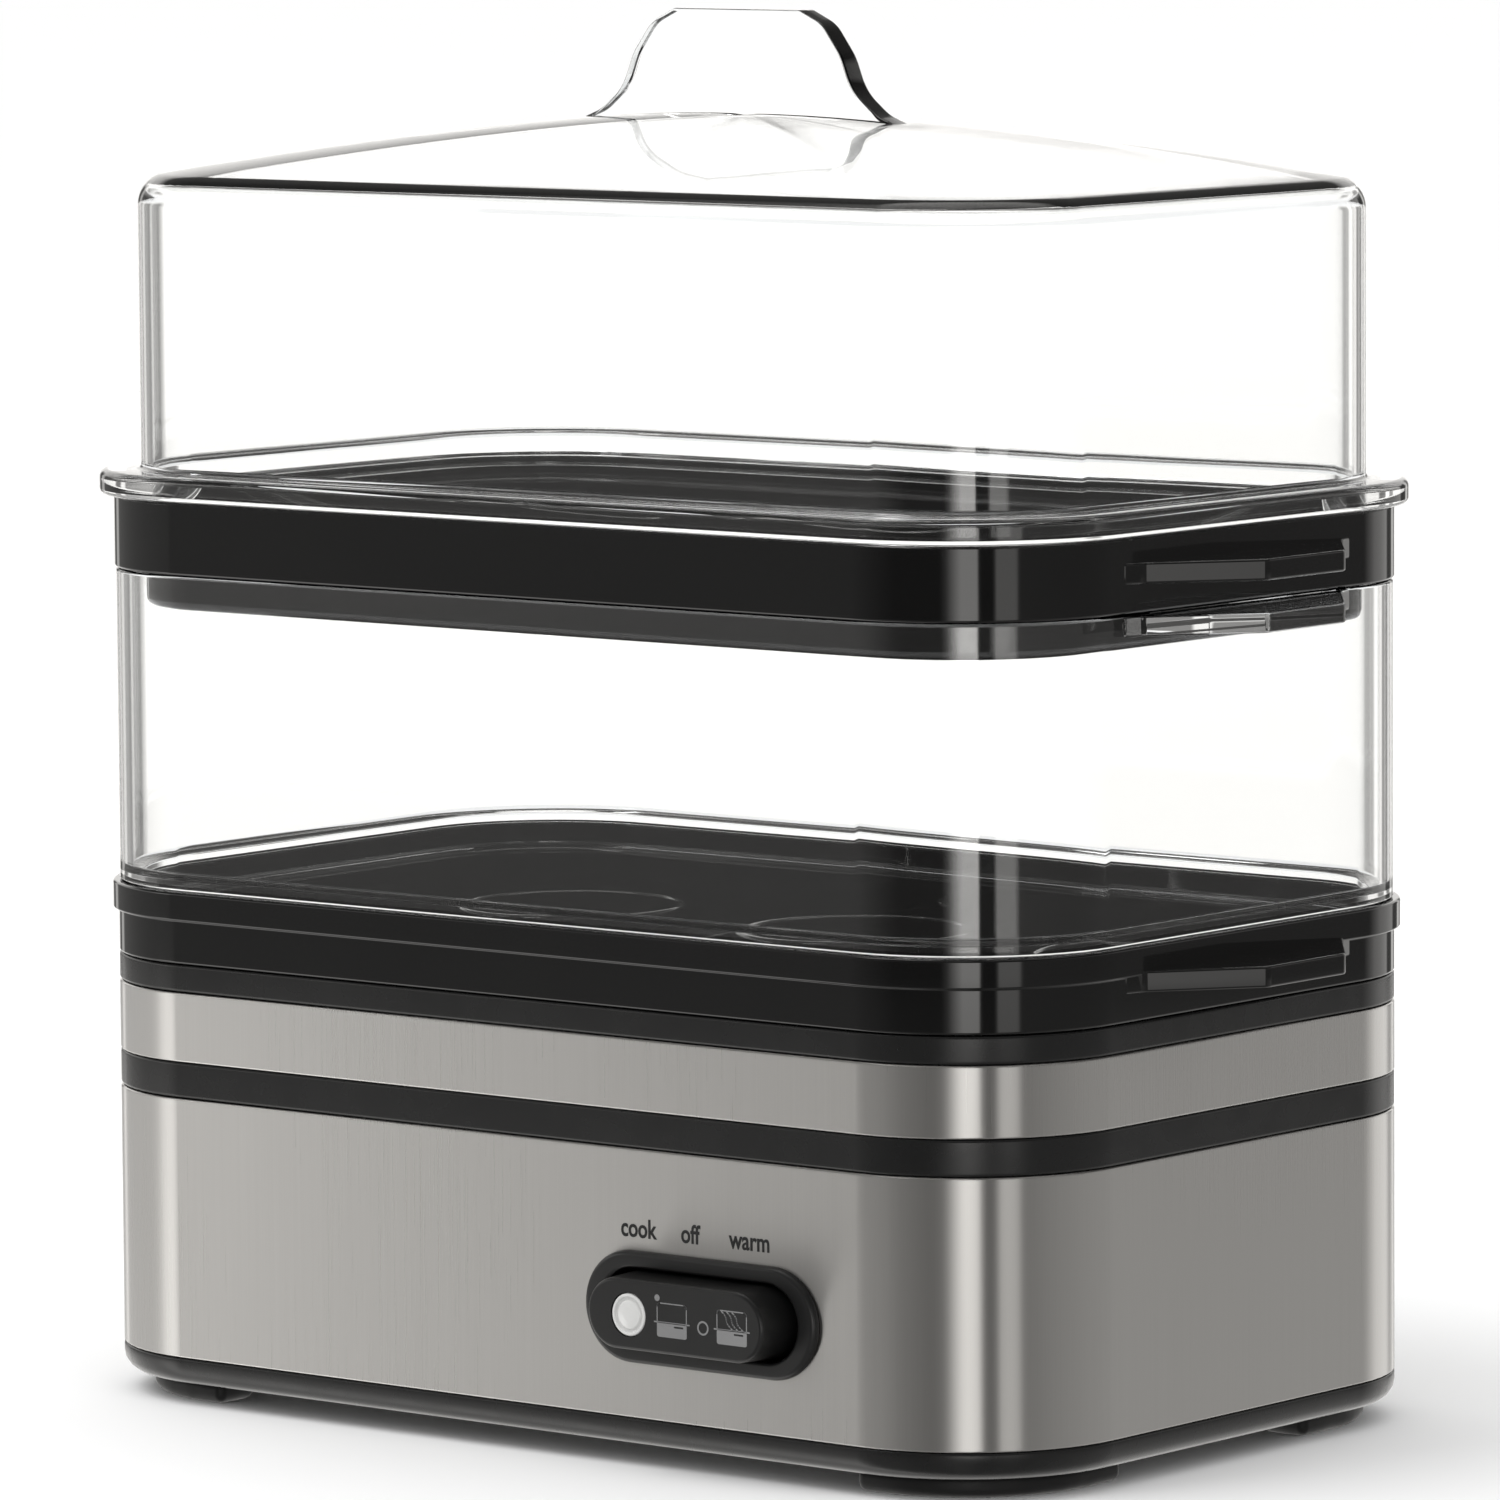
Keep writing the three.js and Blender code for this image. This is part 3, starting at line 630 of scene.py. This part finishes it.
def bezel_ring(inset, out):
    """The bezel's outline at an inset; it narrows faster along its length than across it."""
    share = inset / ((BEZEL["width"] - BEZEL["opening_width"]) / 2)
    width = BEZEL["width"] + share * (BEZEL["opening_width"] - BEZEL["width"])
    height = BEZEL["height"] + share * (BEZEL["opening_height"] - BEZEL["height"])
    return [(x, y, out) for x, y in rounded_outline(width, height, height / 2, 16)]


def add_bezel():
    reach = (BEZEL["width"] - BEZEL["opening_width"]) / 2
    back = FRONT - high("switch_bezel").y
    neck = 2.0
    section = rounded_path(
        [
            (0, 0.02, 0.1),
            (0, BEZEL["proud"], 0.95),
            (reach, BEZEL["proud"], 0.7),
            (reach, back, 0.3),
            (neck, back, 0.2),
            (neck, 0.02, 0),
        ],
        True,
        5,
    )
    bezel = skin([bezel_ring(inset, out) for inset, out in section], closed=True)
    centre = middle("switch_bezel")
    piece("switch_frame", moved(facing_front(bezel), centre.x, FRONT, centre.z), SWITCH_BLACK, "base",
          "switch_black_plastic", "switch_bezel")


ROCKER = {"base_width": 35.4, "base_height": 11.5, "face_width": 33.4, "face_height": 10.6}


def rocker_face():
    """How far out the rocker's face stands: short of the CAD's by the room that printed marks need."""
    return FRONT - low("switch_rocker").y - 0.05


def rocker_ring(inset, out, share):
    """The rocker's outline: share runs from 0 at its base to 1 at its face."""
    width = ROCKER["base_width"] + share * (ROCKER["face_width"] - ROCKER["base_width"]) - 2 * inset
    height = ROCKER["base_height"] + share * (ROCKER["face_height"] - ROCKER["base_height"]) - 2 * inset
    return [(x, y, out) for x, y in rounded_outline(width, height, height / 2, 16)]


def add_rocker():
    """Rocker that narrows to its face, with a lamp window let in."""
    centre = middle("switch_rocker")
    face = rocker_face()
    back = FRONT - high("switch_rocker").y
    section = rounded_path([(4.5, face), (0, face, 0.55), (0, back, 0.5), (4.5, back)], False, 6)
    rings = [rocker_ring(inset, out, max(out, 0) / face) for inset, out in section]
    rocker = skin(rings)
    lens = middle("indicator_lens")
    well = turned([(0, face - 0.9), (3.35, face - 0.9), (3.35, face + 1), (0, face + 1)], 64)
    rocker = cut(rocker, moved(well, lens.x - centre.x))
    piece("rocker_cap", moved(facing_front(rocker), centre.x, FRONT, centre.z), SWITCH_BLACK, "rocker",
          "switch_black_plastic", "switch_rocker")
    window = turned(
        [(0, face - 0.85), (3.25, face - 0.85), (3.25, face - 0.02, 0.3), (2.75, face - 0.02, 0.1),
         (2.6, face - 0.4, 0.15), (2.3, face - 0.4, 0.15), (2.1, face - 0.1, 0.3), (1.0, face + 0.02, 2.0),
         (0, face + 0.02)],
        64,
    )
    piece("lamp_window", moved(facing_front(window), lens.x, FRONT, lens.z), PEARL, "rocker",
          "indicator_lens", "indicator_lens")


INK = 0.04  # how far a printed mark stands up
FULL_TURN = [2 * math.pi * i / 24 for i in range(24)]
WAVE_STEPS = [i / 8 for i in range(9)]


def strip(points, width, out):
    """A printed line along points."""
    shapes = []
    for (ax, ay), (bx, by) in zip(points, points[1:]):
        along = Vector((bx - ax, by - ay))
        across = Vector((-along.y, along.x)).normalized() * width / 2
        end = along.normalized() * width / 2
        a, b = Vector((ax, ay)) - end, Vector((bx, by)) + end
        corners = [tuple(point) for point in (a - across, b - across, b + across, a + across)]
        shapes.append(slab(corners, out, out + INK))
    return shapes


def pan_mark(centre_x, out):
    """A covered pan: a filled body with a slot for its handle, a rim and an outlined lid."""
    body = slab(rounded_outline(5.7, 2.2, 0.35, 3), out, out + INK)
    slot = moved(slab(rounded_outline(1.8, 0.28, 0.1, 2), out - 1, out + 1), 1.3, 0.55)
    shapes = [moved(cut(body, slot), centre_x, -1.6)]
    shapes += strip([(centre_x - 3.3, -0.5), (centre_x + 3.3, -0.5)], 0.22, out)
    hood = rounded_path([(-2.8, -0.4), (-2.8, 2.37, 0.5), (2.8, 2.37, 0.5), (2.8, -0.4)])
    shapes += strip([(centre_x + x, y) for x, y in hood], 0.17, out)
    return shapes


def add_icons():
    """Printed marks on the rocker: a covered pan, a ring, and a pan with steam."""
    out = rocker_face() - 0.01
    cook, warm = -0.4, 11.05
    shapes = pan_mark(cook, out) + pan_mark(warm, out)
    dot = slab([(0.5 * math.cos(t), 0.5 * math.sin(t)) for t in FULL_TURN], out, out + INK)
    shapes.append(moved(dot, cook - 2.8, 3.1))
    for start in (-1.9, -0.9, 0.1):
        wave = [(warm + start + 1.9 * t + 0.22 * math.sin(7 * t), 2.2 - 2.6 * t) for t in WAVE_STEPS]
        shapes += strip(wave, 0.2, out)
    ring = turned([(0.8, out), (1.08, out), (1.08, out + INK), (0.8, out + INK)], 40, closed=True)
    shapes.append(moved(ring, 5.55, -0.65))
    centre = middle("switch_rocker")
    piece("rocker_marks", moved(facing_front(together(*shapes)), centre.x, FRONT, centre.z), PRINT_GREY,
          "rocker", "indicator_lens")


def add_labels():
    """Generic position words printed on the steel above the switch."""
    shapes = []
    height = 35.1
    for word, x in (("cook", 25.6), ("off", 35.6), ("warm", 47.0)):
        curve = bpy.data.curves.new(word, "FONT")
        curve.body = word
        curve.size = 4.0
        curve.align_x = "CENTER"
        curve.extrude = 0.02
        curve.offset = 0.08
        curve.resolution_u = 4
        holder = bpy.data.objects.new(word, curve)
        bpy.context.scene.collection.objects.link(holder)
        text = bmesh.new()
        mesh = bpy.data.meshes.new_from_object(holder.evaluated_get(bpy.context.evaluated_depsgraph_get()))
        text.from_mesh(mesh)
        bpy.data.objects.remove(holder)
        bpy.data.curves.remove(curve)
        bpy.data.meshes.remove(mesh)
        bmesh.ops.scale(text, vec=(0.84, 1, 1), verts=text.verts)
        shapes.append(moved(text, x, 0, 0))
    words = moved(facing_front(together(*shapes)), 0, FRONT - 0.02, height)
    piece("position_words", words, PRINT_BLACK, "base", "satin_black_plastic")


def add_gland():
    """Ribbed bush where the mains lead enters, bored through."""
    centre = middle("cord_gland")
    end = high("cord_gland").y
    wall_y = DEPTH / 2
    corners = [
        (3.3, low("cord_gland").y, 0.3),
        (4.95, low("cord_gland").y, 0.5),
        (4.95, wall_y + 0.05, 0.1),
        (7.5, wall_y + 0.05, 0.4),
        (7.5, wall_y + 2.2, 0.9),
        (5.6, wall_y + 2.6, 0.4),
    ]
    for y in (wall_y + 3.4, wall_y + 5.0):
        corners += [(5.2, y, 0.2), (5.2, y + 0.5, 0.15), (5.6, y + 0.6, 0.2), (5.6, y + 1.1, 0.2)]
    corners += [(4.9, end, 0.5), (3.3, end, 0.3)]
    gland = turned(corners, 56, 3, closed=True)
    gland = moved(facing_back(gland), centre.x, 0, centre.z)
    piece("lead_bush", gland, RUBBER, "base", "rubber", "cord_gland")


# ---- Trays, collar and lid ----
def grip_tab(bottom, top, side, bevel=0.55):
    """Trapezoid lug with rounded corners and softened edges; it starts inside the wall."""
    root, edge = WIDTH / 2, high("lower_tray").x
    outline = rounded_path(
        [
            (root - 1.3, -28.5),
            (root + 0.1, -28.2, 0.4),
            (root + 1.0, -25.0, 3.0),
            (edge, -9.7, 1.8),
            (edge, 9.7, 1.8),
            (root + 1.0, 25.0, 3.0),
            (root + 0.1, 28.2, 0.4),
            (root - 1.3, 28.5),
        ],
        False,
        6,
    )
    tab = slab([tuple(p) for p in outline], bottom, top, bevel, 4)
    return tab if side > 0 else turned_round(tab)


BAND = {"height": 11.4, "skirt": 6.0, "rim_from": 6.9, "ledge": 7.6}
DECK_DEPTH = 5.8  # how far a tray reaches below its band
SEAT = {"radius": 17.0, "wall": 1.6, "top": 2.0}
SEAT_PLACES = [(x, y) for x in (-58, 0, 58) for y in (-27, 27)]


def egg_tray(base, rim):
    """Tray with a glossy band, a ledge inside it and a sunk deck of ribbed egg seats.

    The band's upper part may stand proud as a rim.
    """
    step = [(0, BAND["rim_from"], 0.25), (-rim, BAND["rim_from"], 0.35)] if rim else []
    top = BAND["height"] - SEAM
    deck_bottom, deck_top = -DECK_DEPTH, -4.2
    tray = pan(
        [
            (MIDDLE_INSET, deck_bottom),
            (5, deck_bottom, 1.3),
            (5, BAND["skirt"], 0.3),
            (2, BAND["skirt"], 0.3),
            (2, SEAM, 0.3),
            (0, SEAM, 0.45),
            *step,
            (-rim, top, 0.5),
            (2, top, 0.4),
            (2, BAND["ledge"], 0.4),
            (6.8, BAND["ledge"], 0.9),
            (6.8, deck_top, 1.6),
            (MIDDLE_INSET, deck_top),
        ]
    )
    inner, outer = SEAT["radius"] - 0.2, SEAT["radius"] + SEAT["wall"]
    section = [
        (inner, deck_bottom + 0.2),
        (outer, deck_bottom + 0.2),
        (outer, SEAT["top"], 0.6),
        (inner, SEAT["top"], 0.9),
    ]
    seats = [moved(turned(section, 72, closed=True), x, y) for x, y in SEAT_PLACES]
    rib_bottom, rib_top = deck_bottom + 0.4, -1.2
    ribs = [slab(rounded_outline(162, 1.8, 0.5, 2), rib_bottom, rib_top, 0.3)]
    ribs += [moved(slab(rounded_outline(1.8, 92, 0.5, 2), rib_bottom, rib_top, 0.3), x) for x in (-29, 29)]
    tabs = [grip_tab(4.4, 7.6, side) for side in (1, -1)]
    bore = [(0, -10), (SEAT["radius"], -10), (SEAT["radius"], 5), (0, 5)]
    holes = [moved(turned(bore, 72), x, y) for x, y in SEAT_PLACES]
    tray = joined(tray, *seats, *ribs, *tabs)
    vents = [
        moved(slab(rounded_outline(2.2, 7, 1.1, 5), -10, -3), x + shift, y)
        for x in (-29, 29) for y in (-9, 9) for shift in (-4.5, 4.5)
    ]
    tray = cut(tray, *holes, *vents)
    return moved(tray, 0, 0, base)


def add_trays():
    for name, node, rim in (("black_tray_lower", "lower_tray", 0.9), ("black_tray_upper", "upper_tray", 0)):
        base = low(node).z + DECK_DEPTH
        piece(name, egg_tray(base, rim), GLOSS_BLACK, node, "gloss_black_plastic", node)


def add_collar():
    """Clear wall between the trays, with a locating lip inside its foot and a lug at each end."""
    bottom = high("lower_tray").z + SEAM
    top = low("upper_tray").z + DECK_DEPTH - SEAM
    lip = low("collar").z - 0.2
    ring = wall(
        [
            (0.2, bottom, 0.35),
            (0.2, top, 0.5),
            (2.2, top, 0.5),
            (2.2, bottom + 2.2, 0.8),
            (4.0, bottom + 1.6, 0.5),
            (4.0, lip, 0.5),
            (2.3, lip, 0.5),
            (2.3, bottom, 0.1),
        ]
    )
    ring = joined(ring, *(grip_tab(top - 3.3, top - 0.15, side, 0.4) for side in (1, -1)))
    piece("clear_collar", ring, CLEAR, "collar", "clear_plastic", "collar")


LID = {"inset": 4.3, "wall": 1.8, "roof_z": 190.9, "shoulder": 5.0, "inner_shoulder": 2.0}
ROOF = {"rise": 9.4, "power_along": 2.1, "power_across": 1.15, "steps": 14, "end": 1.3}
SIDE_PARTS = 12


def shoulder_rings(inset, top, radius):
    """Rings of a rounded shoulder, from a wall at an inset up to the edge of the roof."""
    rings = []
    for i in range(9):
        angle = ROOF["end"] * i / 8
        drop = radius * (math.sin(ROOF["end"]) - math.sin(angle))
        rings.append(plan_ring(inset + radius * (1 - math.cos(angle)), top - drop, SIDE_PARTS))
    return rings


def roof_rings(edge):
    """Rings of a low crowned roof inside its edge ring. It is fuller along its length than across."""
    half_x = max(x for x, _, _ in edge)
    half_y = max(y for _, y, _ in edge)
    scales = [1 - i / ROOF["steps"] for i in range(1, ROOF["steps"])] + [0.02]
    rings = []
    for scale in scales:
        ring = []
        for x, y, z in edge:
            across = (y / half_y) ** 2 / ((x / half_x) ** 2 + (y / half_y) ** 2)
            power = ROOF["power_along"] + (ROOF["power_across"] - ROOF["power_along"]) * across
            ring.append((x * scale, y * scale, z + ROOF["rise"] * (1 - scale**power)))
        rings.append(ring)
    return rings


def grip_fin():
    """Flat fin with S-curved flanks that run out onto the roof."""
    top = high("lid").z
    half = [
        (31.5, 198.9, 0),
        (27.2, 200.5, 8),
        (22.8, 204.0, 9),
        (20.7, 209.3, 10),
        (17.0, 214.2, 6),
        (12.4, top, 1.6),
    ]
    mirrored = [(-x, z, r) for x, z, r in half[::-1]]
    outline = rounded_path(half + mirrored, False, 8)
    fin = slab([tuple(p) for p in outline], -2, 2, 0.5, 3)
    return facing_front(fin)


def add_lid():
    bottom = high("upper_tray").z + SEAM
    flange_top = bottom + 3.9
    inner = LID["inset"] + LID["wall"]
    outside = shoulder_rings(LID["inset"], LID["roof_z"], LID["shoulder"])
    inside = shoulder_rings(inner, LID["roof_z"] - LID["wall"], LID["inner_shoulder"])
    foot = rounded_path(
        [
            (LID["inset"], flange_top + 6),
            (LID["inset"], flange_top, 0.8),
            (-2.2, flange_top, 1.3),
            (-2.2, bottom, 0.9),
            (2.3, bottom, 0.2),
            (2.3, low("lid").z, 0.5),
            (inner, low("lid").z, 0.5),
            (inner, flange_top + 6),
        ],
        False,
        5,
    )
    rings = roof_rings(outside[-1])[::-1] + outside[::-1]
    rings += [plan_ring(inset, z, SIDE_PARTS) for inset, z in foot]
    rings += inside + roof_rings(inside[-1])
    shell = joined(skin(rings), grip_fin())
    piece("clear_lid", shell, CLEAR, "lid", "clear_plastic", "lid")


def dress_inner_nodes():
    """Materials of the pieces inside, which keep their CAD shapes."""
    inner = {
        "inner_housing": SATIN_BLACK,
        "plate_seal": SILICONE,
        "heat_spreader": ALUMINIUM,
        "thermostat_bracket": ALUMINIUM,
        "heating_element": SHEATH,
        "thermostat": CERAMIC,
        "thermal_fuse": CERAMIC,
        "terminal_block": CERAMIC,
        "bracket_screw_front": ZINC,
        "bracket_screw_rear": ZINC,
        "switch_pivot_pin": ZINC,
        "indicator_lamp": PEARL,
        "switch_body": RESIN,
        "switch_terminal_cook": BRASS,
        "switch_terminal_common": BRASS,
        "switch_terminal_warm": BRASS,
        "live_lead": RED,
        "cook_lead": RED,
        "neutral_lead": BLUE,
        "thermostat_lead": WHITE,
        "fuse_lead": WHITE,
    }
    for node, material in inner.items():
        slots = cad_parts[node].data.materials
        slots.clear()
        slots.append(material)


# ---- Stage ----
def add_camera():
    data = bpy.data.cameras.new("camera")
    data.sensor_width = 36
    data.lens = CAMERA["lens"]
    azimuth, elevation, roll = (math.radians(CAMERA[k]) for k in ("azimuth", "elevation", "roll"))
    back = Vector((math.sin(azimuth) * math.cos(elevation), -math.cos(azimuth) * math.cos(elevation),
                   math.sin(elevation)))
    right = Vector((math.cos(azimuth), math.sin(azimuth), 0))
    up = back.cross(right)
    rolled_right = math.cos(roll) * right + math.sin(roll) * up
    rolled_up = -math.sin(roll) * right + math.cos(roll) * up
    camera = bpy.data.objects.new("camera", data)
    camera.matrix_world = Matrix.Translation(CAMERA["place"]) @ Matrix(
        (rolled_right, rolled_up, back)
    ).transposed().to_4x4()
    bpy.context.scene.collection.objects.link(camera)
    bpy.context.scene.camera = camera


def add_floor():
    """A pale floor that takes shadows, and that gloss and clear plastic don't show."""
    mesh = bpy.data.meshes.new("floor")
    half = 30
    corners = [(-half, -half, 0), (half, -half, 0), (half, half, 0), (-half, half, 0)]
    mesh.from_pydata(corners, [], [(0, 1, 2, 3)])
    material, _, shader = new_material("floor", Roughness=0.9, Specular_IOR_Level=0.1)
    shader.inputs["Base Color"].default_value = (0.93, 0.93, 0.93, 1)
    mesh.materials.append(material)
    floor = bpy.data.objects.new("floor", mesh)
    bpy.context.scene.collection.objects.link(floor)
    floor.visible_glossy = False
    floor.visible_transmission = False


# Brightness of the studio round the object, by azimuth in degrees: 0 is straight ahead of the
# object's front and 90 is to its right. These are the softboxes and dark gaps the steel reflects.
STUDIO = (
    (-180, 1.2),
    (-112, 1.48),
    (-104, 1.2),
    (-70, 1.12),
    (-63, 1.5),
    (-58, 2.5),
    (-47, 2.5),
    (-45, 0.66),
    (-39, 0.45),
    (-35, 0.37),
    (-20, 0.48),
    (-6, 0.36),
    (14, 0.26),
    (22, 0.35),
    (27, 0.6),
    (41, 0.5),
    (46, 0.22),
    (57, 0.2),
    (60, 0.52),
    (67, 0.47),
    (73, 0.28),
    (95, 0.42),
    (125, 0.58),
    (145, 0.62),
    (170, 1.1),
    (180, 1.2),
)
# The same at the horizon, which polished walls mirror: dark, but for the tall lamps' bright cores.
HORIZON = (
    (-180, 1.0),
    (-178, 0.15),
    (-168, 0.15),
    (-166, 1.3),
    (-162, 1.3),
    (-160, 0.3),
    (-155, 0.3),
    (-153, 1.3),
    (-128, 1.3),
    (-125, 0.2),
    (-118, 0.2),
    (-116, 1.1),
    (-111, 1.1),
    (-109, 0.3),
    (-58, 0.45),
    (-45, 0.45),
    (-43, 0.36),
    (-8, 0.12),
    (22, 0.12),
    (26, 0.5),
    (31, 2.2),
    (35, 3.6),
    (45, 3.6),
    (46.5, 0.12),
    (56, 0.12),
    (57, 1.6),
    (70, 1.6),
    (72, 0.3),
    (148, 0.2),
    (160, 1.0),
)
# A factor by the sine of the height: the walls end in a dark gap under a soft ceiling light.
CEILING = ((-1, 1.0), (0.4, 1.0), (0.5, 0.15), (0.75, 0.15), (0.82, 1.2), (1, 1.2))
BELT = 0.13  # half the height of the belt at the horizon, as a sine
FULL = 3.6  # the level a ramp's white stands for
WARMTH = (1.0, 0.985, 0.96)


def ramp(tree, value, stops, full=1.0, tint=(1, 1, 1)):
    """A colour by value, through (value, level) stops in rising order. Full is the level of white."""
    node = tree.nodes.new("ShaderNodeValToRGB")
    elements = node.color_ramp.elements
    elements.remove(elements[1])
    for i, (position, level) in enumerate(stops):
        element = elements[0] if i == 0 else elements.new(position)
        element.color = [level / full * channel for channel in tint] + [1]
    tree.links.new(value, node.inputs["Fac"])
    return node.outputs["Color"]


def add_world():
    """An even white sky for diffuse light, and the studio's softboxes for reflections."""
    world = bpy.data.worlds.new("studio")
    world.use_nodes = True
    tree = world.node_tree
    direction = tree.nodes.new("ShaderNodeTexCoord")
    parts = tree.nodes.new("ShaderNodeSeparateXYZ")
    tree.links.new(direction.outputs["Generated"], parts.inputs["Vector"])

    ahead = math_node(tree, "MULTIPLY", parts.outputs["Y"], -1)
    azimuth = math_node(tree, "ARCTAN2", parts.outputs["X"], ahead)
    turn = spread(tree, azimuth, 0, 1, -math.pi, math.pi)
    rise = spread(tree, parts.outputs["Z"], 0, 1, -1, 1)
    walls = ramp(tree, turn, [((degrees + 180) / 360, level) for degrees, level in STUDIO], FULL, WARMTH)
    belt = ramp(tree, turn, [((degrees + 180) / 360, level) for degrees, level in HORIZON], FULL, WARMTH)
    ceiling = ramp(tree, rise, [((height + 1) / 2, level) for height, level in CEILING])
    off_horizon = math_node(tree, "ABSOLUTE", parts.outputs["Z"], 0)
    inside = spread(tree, off_horizon, 1, 0, BELT, BELT * 1.6)
    round_about = mixed(tree, "MIX", inside, walls, belt)
    shaped = mixed(tree, "MULTIPLY", 1, round_about, ceiling)

    path = tree.nodes.new("ShaderNodeLightPath")
    plain = math_node(tree, "MAXIMUM", path.outputs["Is Camera Ray"], path.outputs["Is Diffuse Ray"])
    downward = spread(tree, parts.outputs["Z"], 1, 0, -0.19, -0.18)
    through = math_node(tree, "MULTIPLY", path.outputs["Is Transmission Ray"], downward)
    plain = math_node(tree, "MAXIMUM", plain, through)
    studio = tree.nodes["Background"]
    studio.inputs["Strength"].default_value = FULL
    tree.links.new(shaped, studio.inputs["Color"])
    sky = tree.nodes.new("ShaderNodeBackground")
    sky.inputs["Color"].default_value = (1, 1, 1, 1)
    sky.inputs["Strength"].default_value = 1.08
    either = tree.nodes.new("ShaderNodeMixShader")
    tree.links.new(plain, either.inputs["Fac"])
    tree.links.new(studio.outputs["Background"], either.inputs[1])
    tree.links.new(sky.outputs["Background"], either.inputs[2])
    tree.links.new(either.outputs["Shader"], tree.nodes["World Output"].inputs["Surface"])
    bpy.context.scene.world = world


def add_key_light():
    """A soft lamp above the left front. It casts the shadow, and reflections don't show it."""
    data = bpy.data.lights.new("key", "AREA")
    data.shape = "RECTANGLE"
    data.energy = 16
    data.size = data.size_y = 1.2
    lamp = bpy.data.objects.new("key", data)
    lamp.location = (-0.7, -1.0, 1.9)
    aim = Vector((0, 0, 0.1)) - Vector((-0.7, -1.0, 1.9))
    lamp.rotation_euler = aim.to_track_quat("-Z", "Y").to_euler()
    bpy.context.scene.collection.objects.link(lamp)
    lamp.visible_glossy = False


bpy.context.scene.view_settings.view_transform = "Standard"
add_camera()
add_feet()
add_bottom_cover()
add_cover_screws()
add_steel()
add_trim_rings()
add_bowl()
add_bezel()
add_rocker()
add_icons()
add_labels()
add_gland()
add_trays()
add_collar()
add_lid()
dress_inner_nodes()
add_floor()
add_world()
add_key_light()
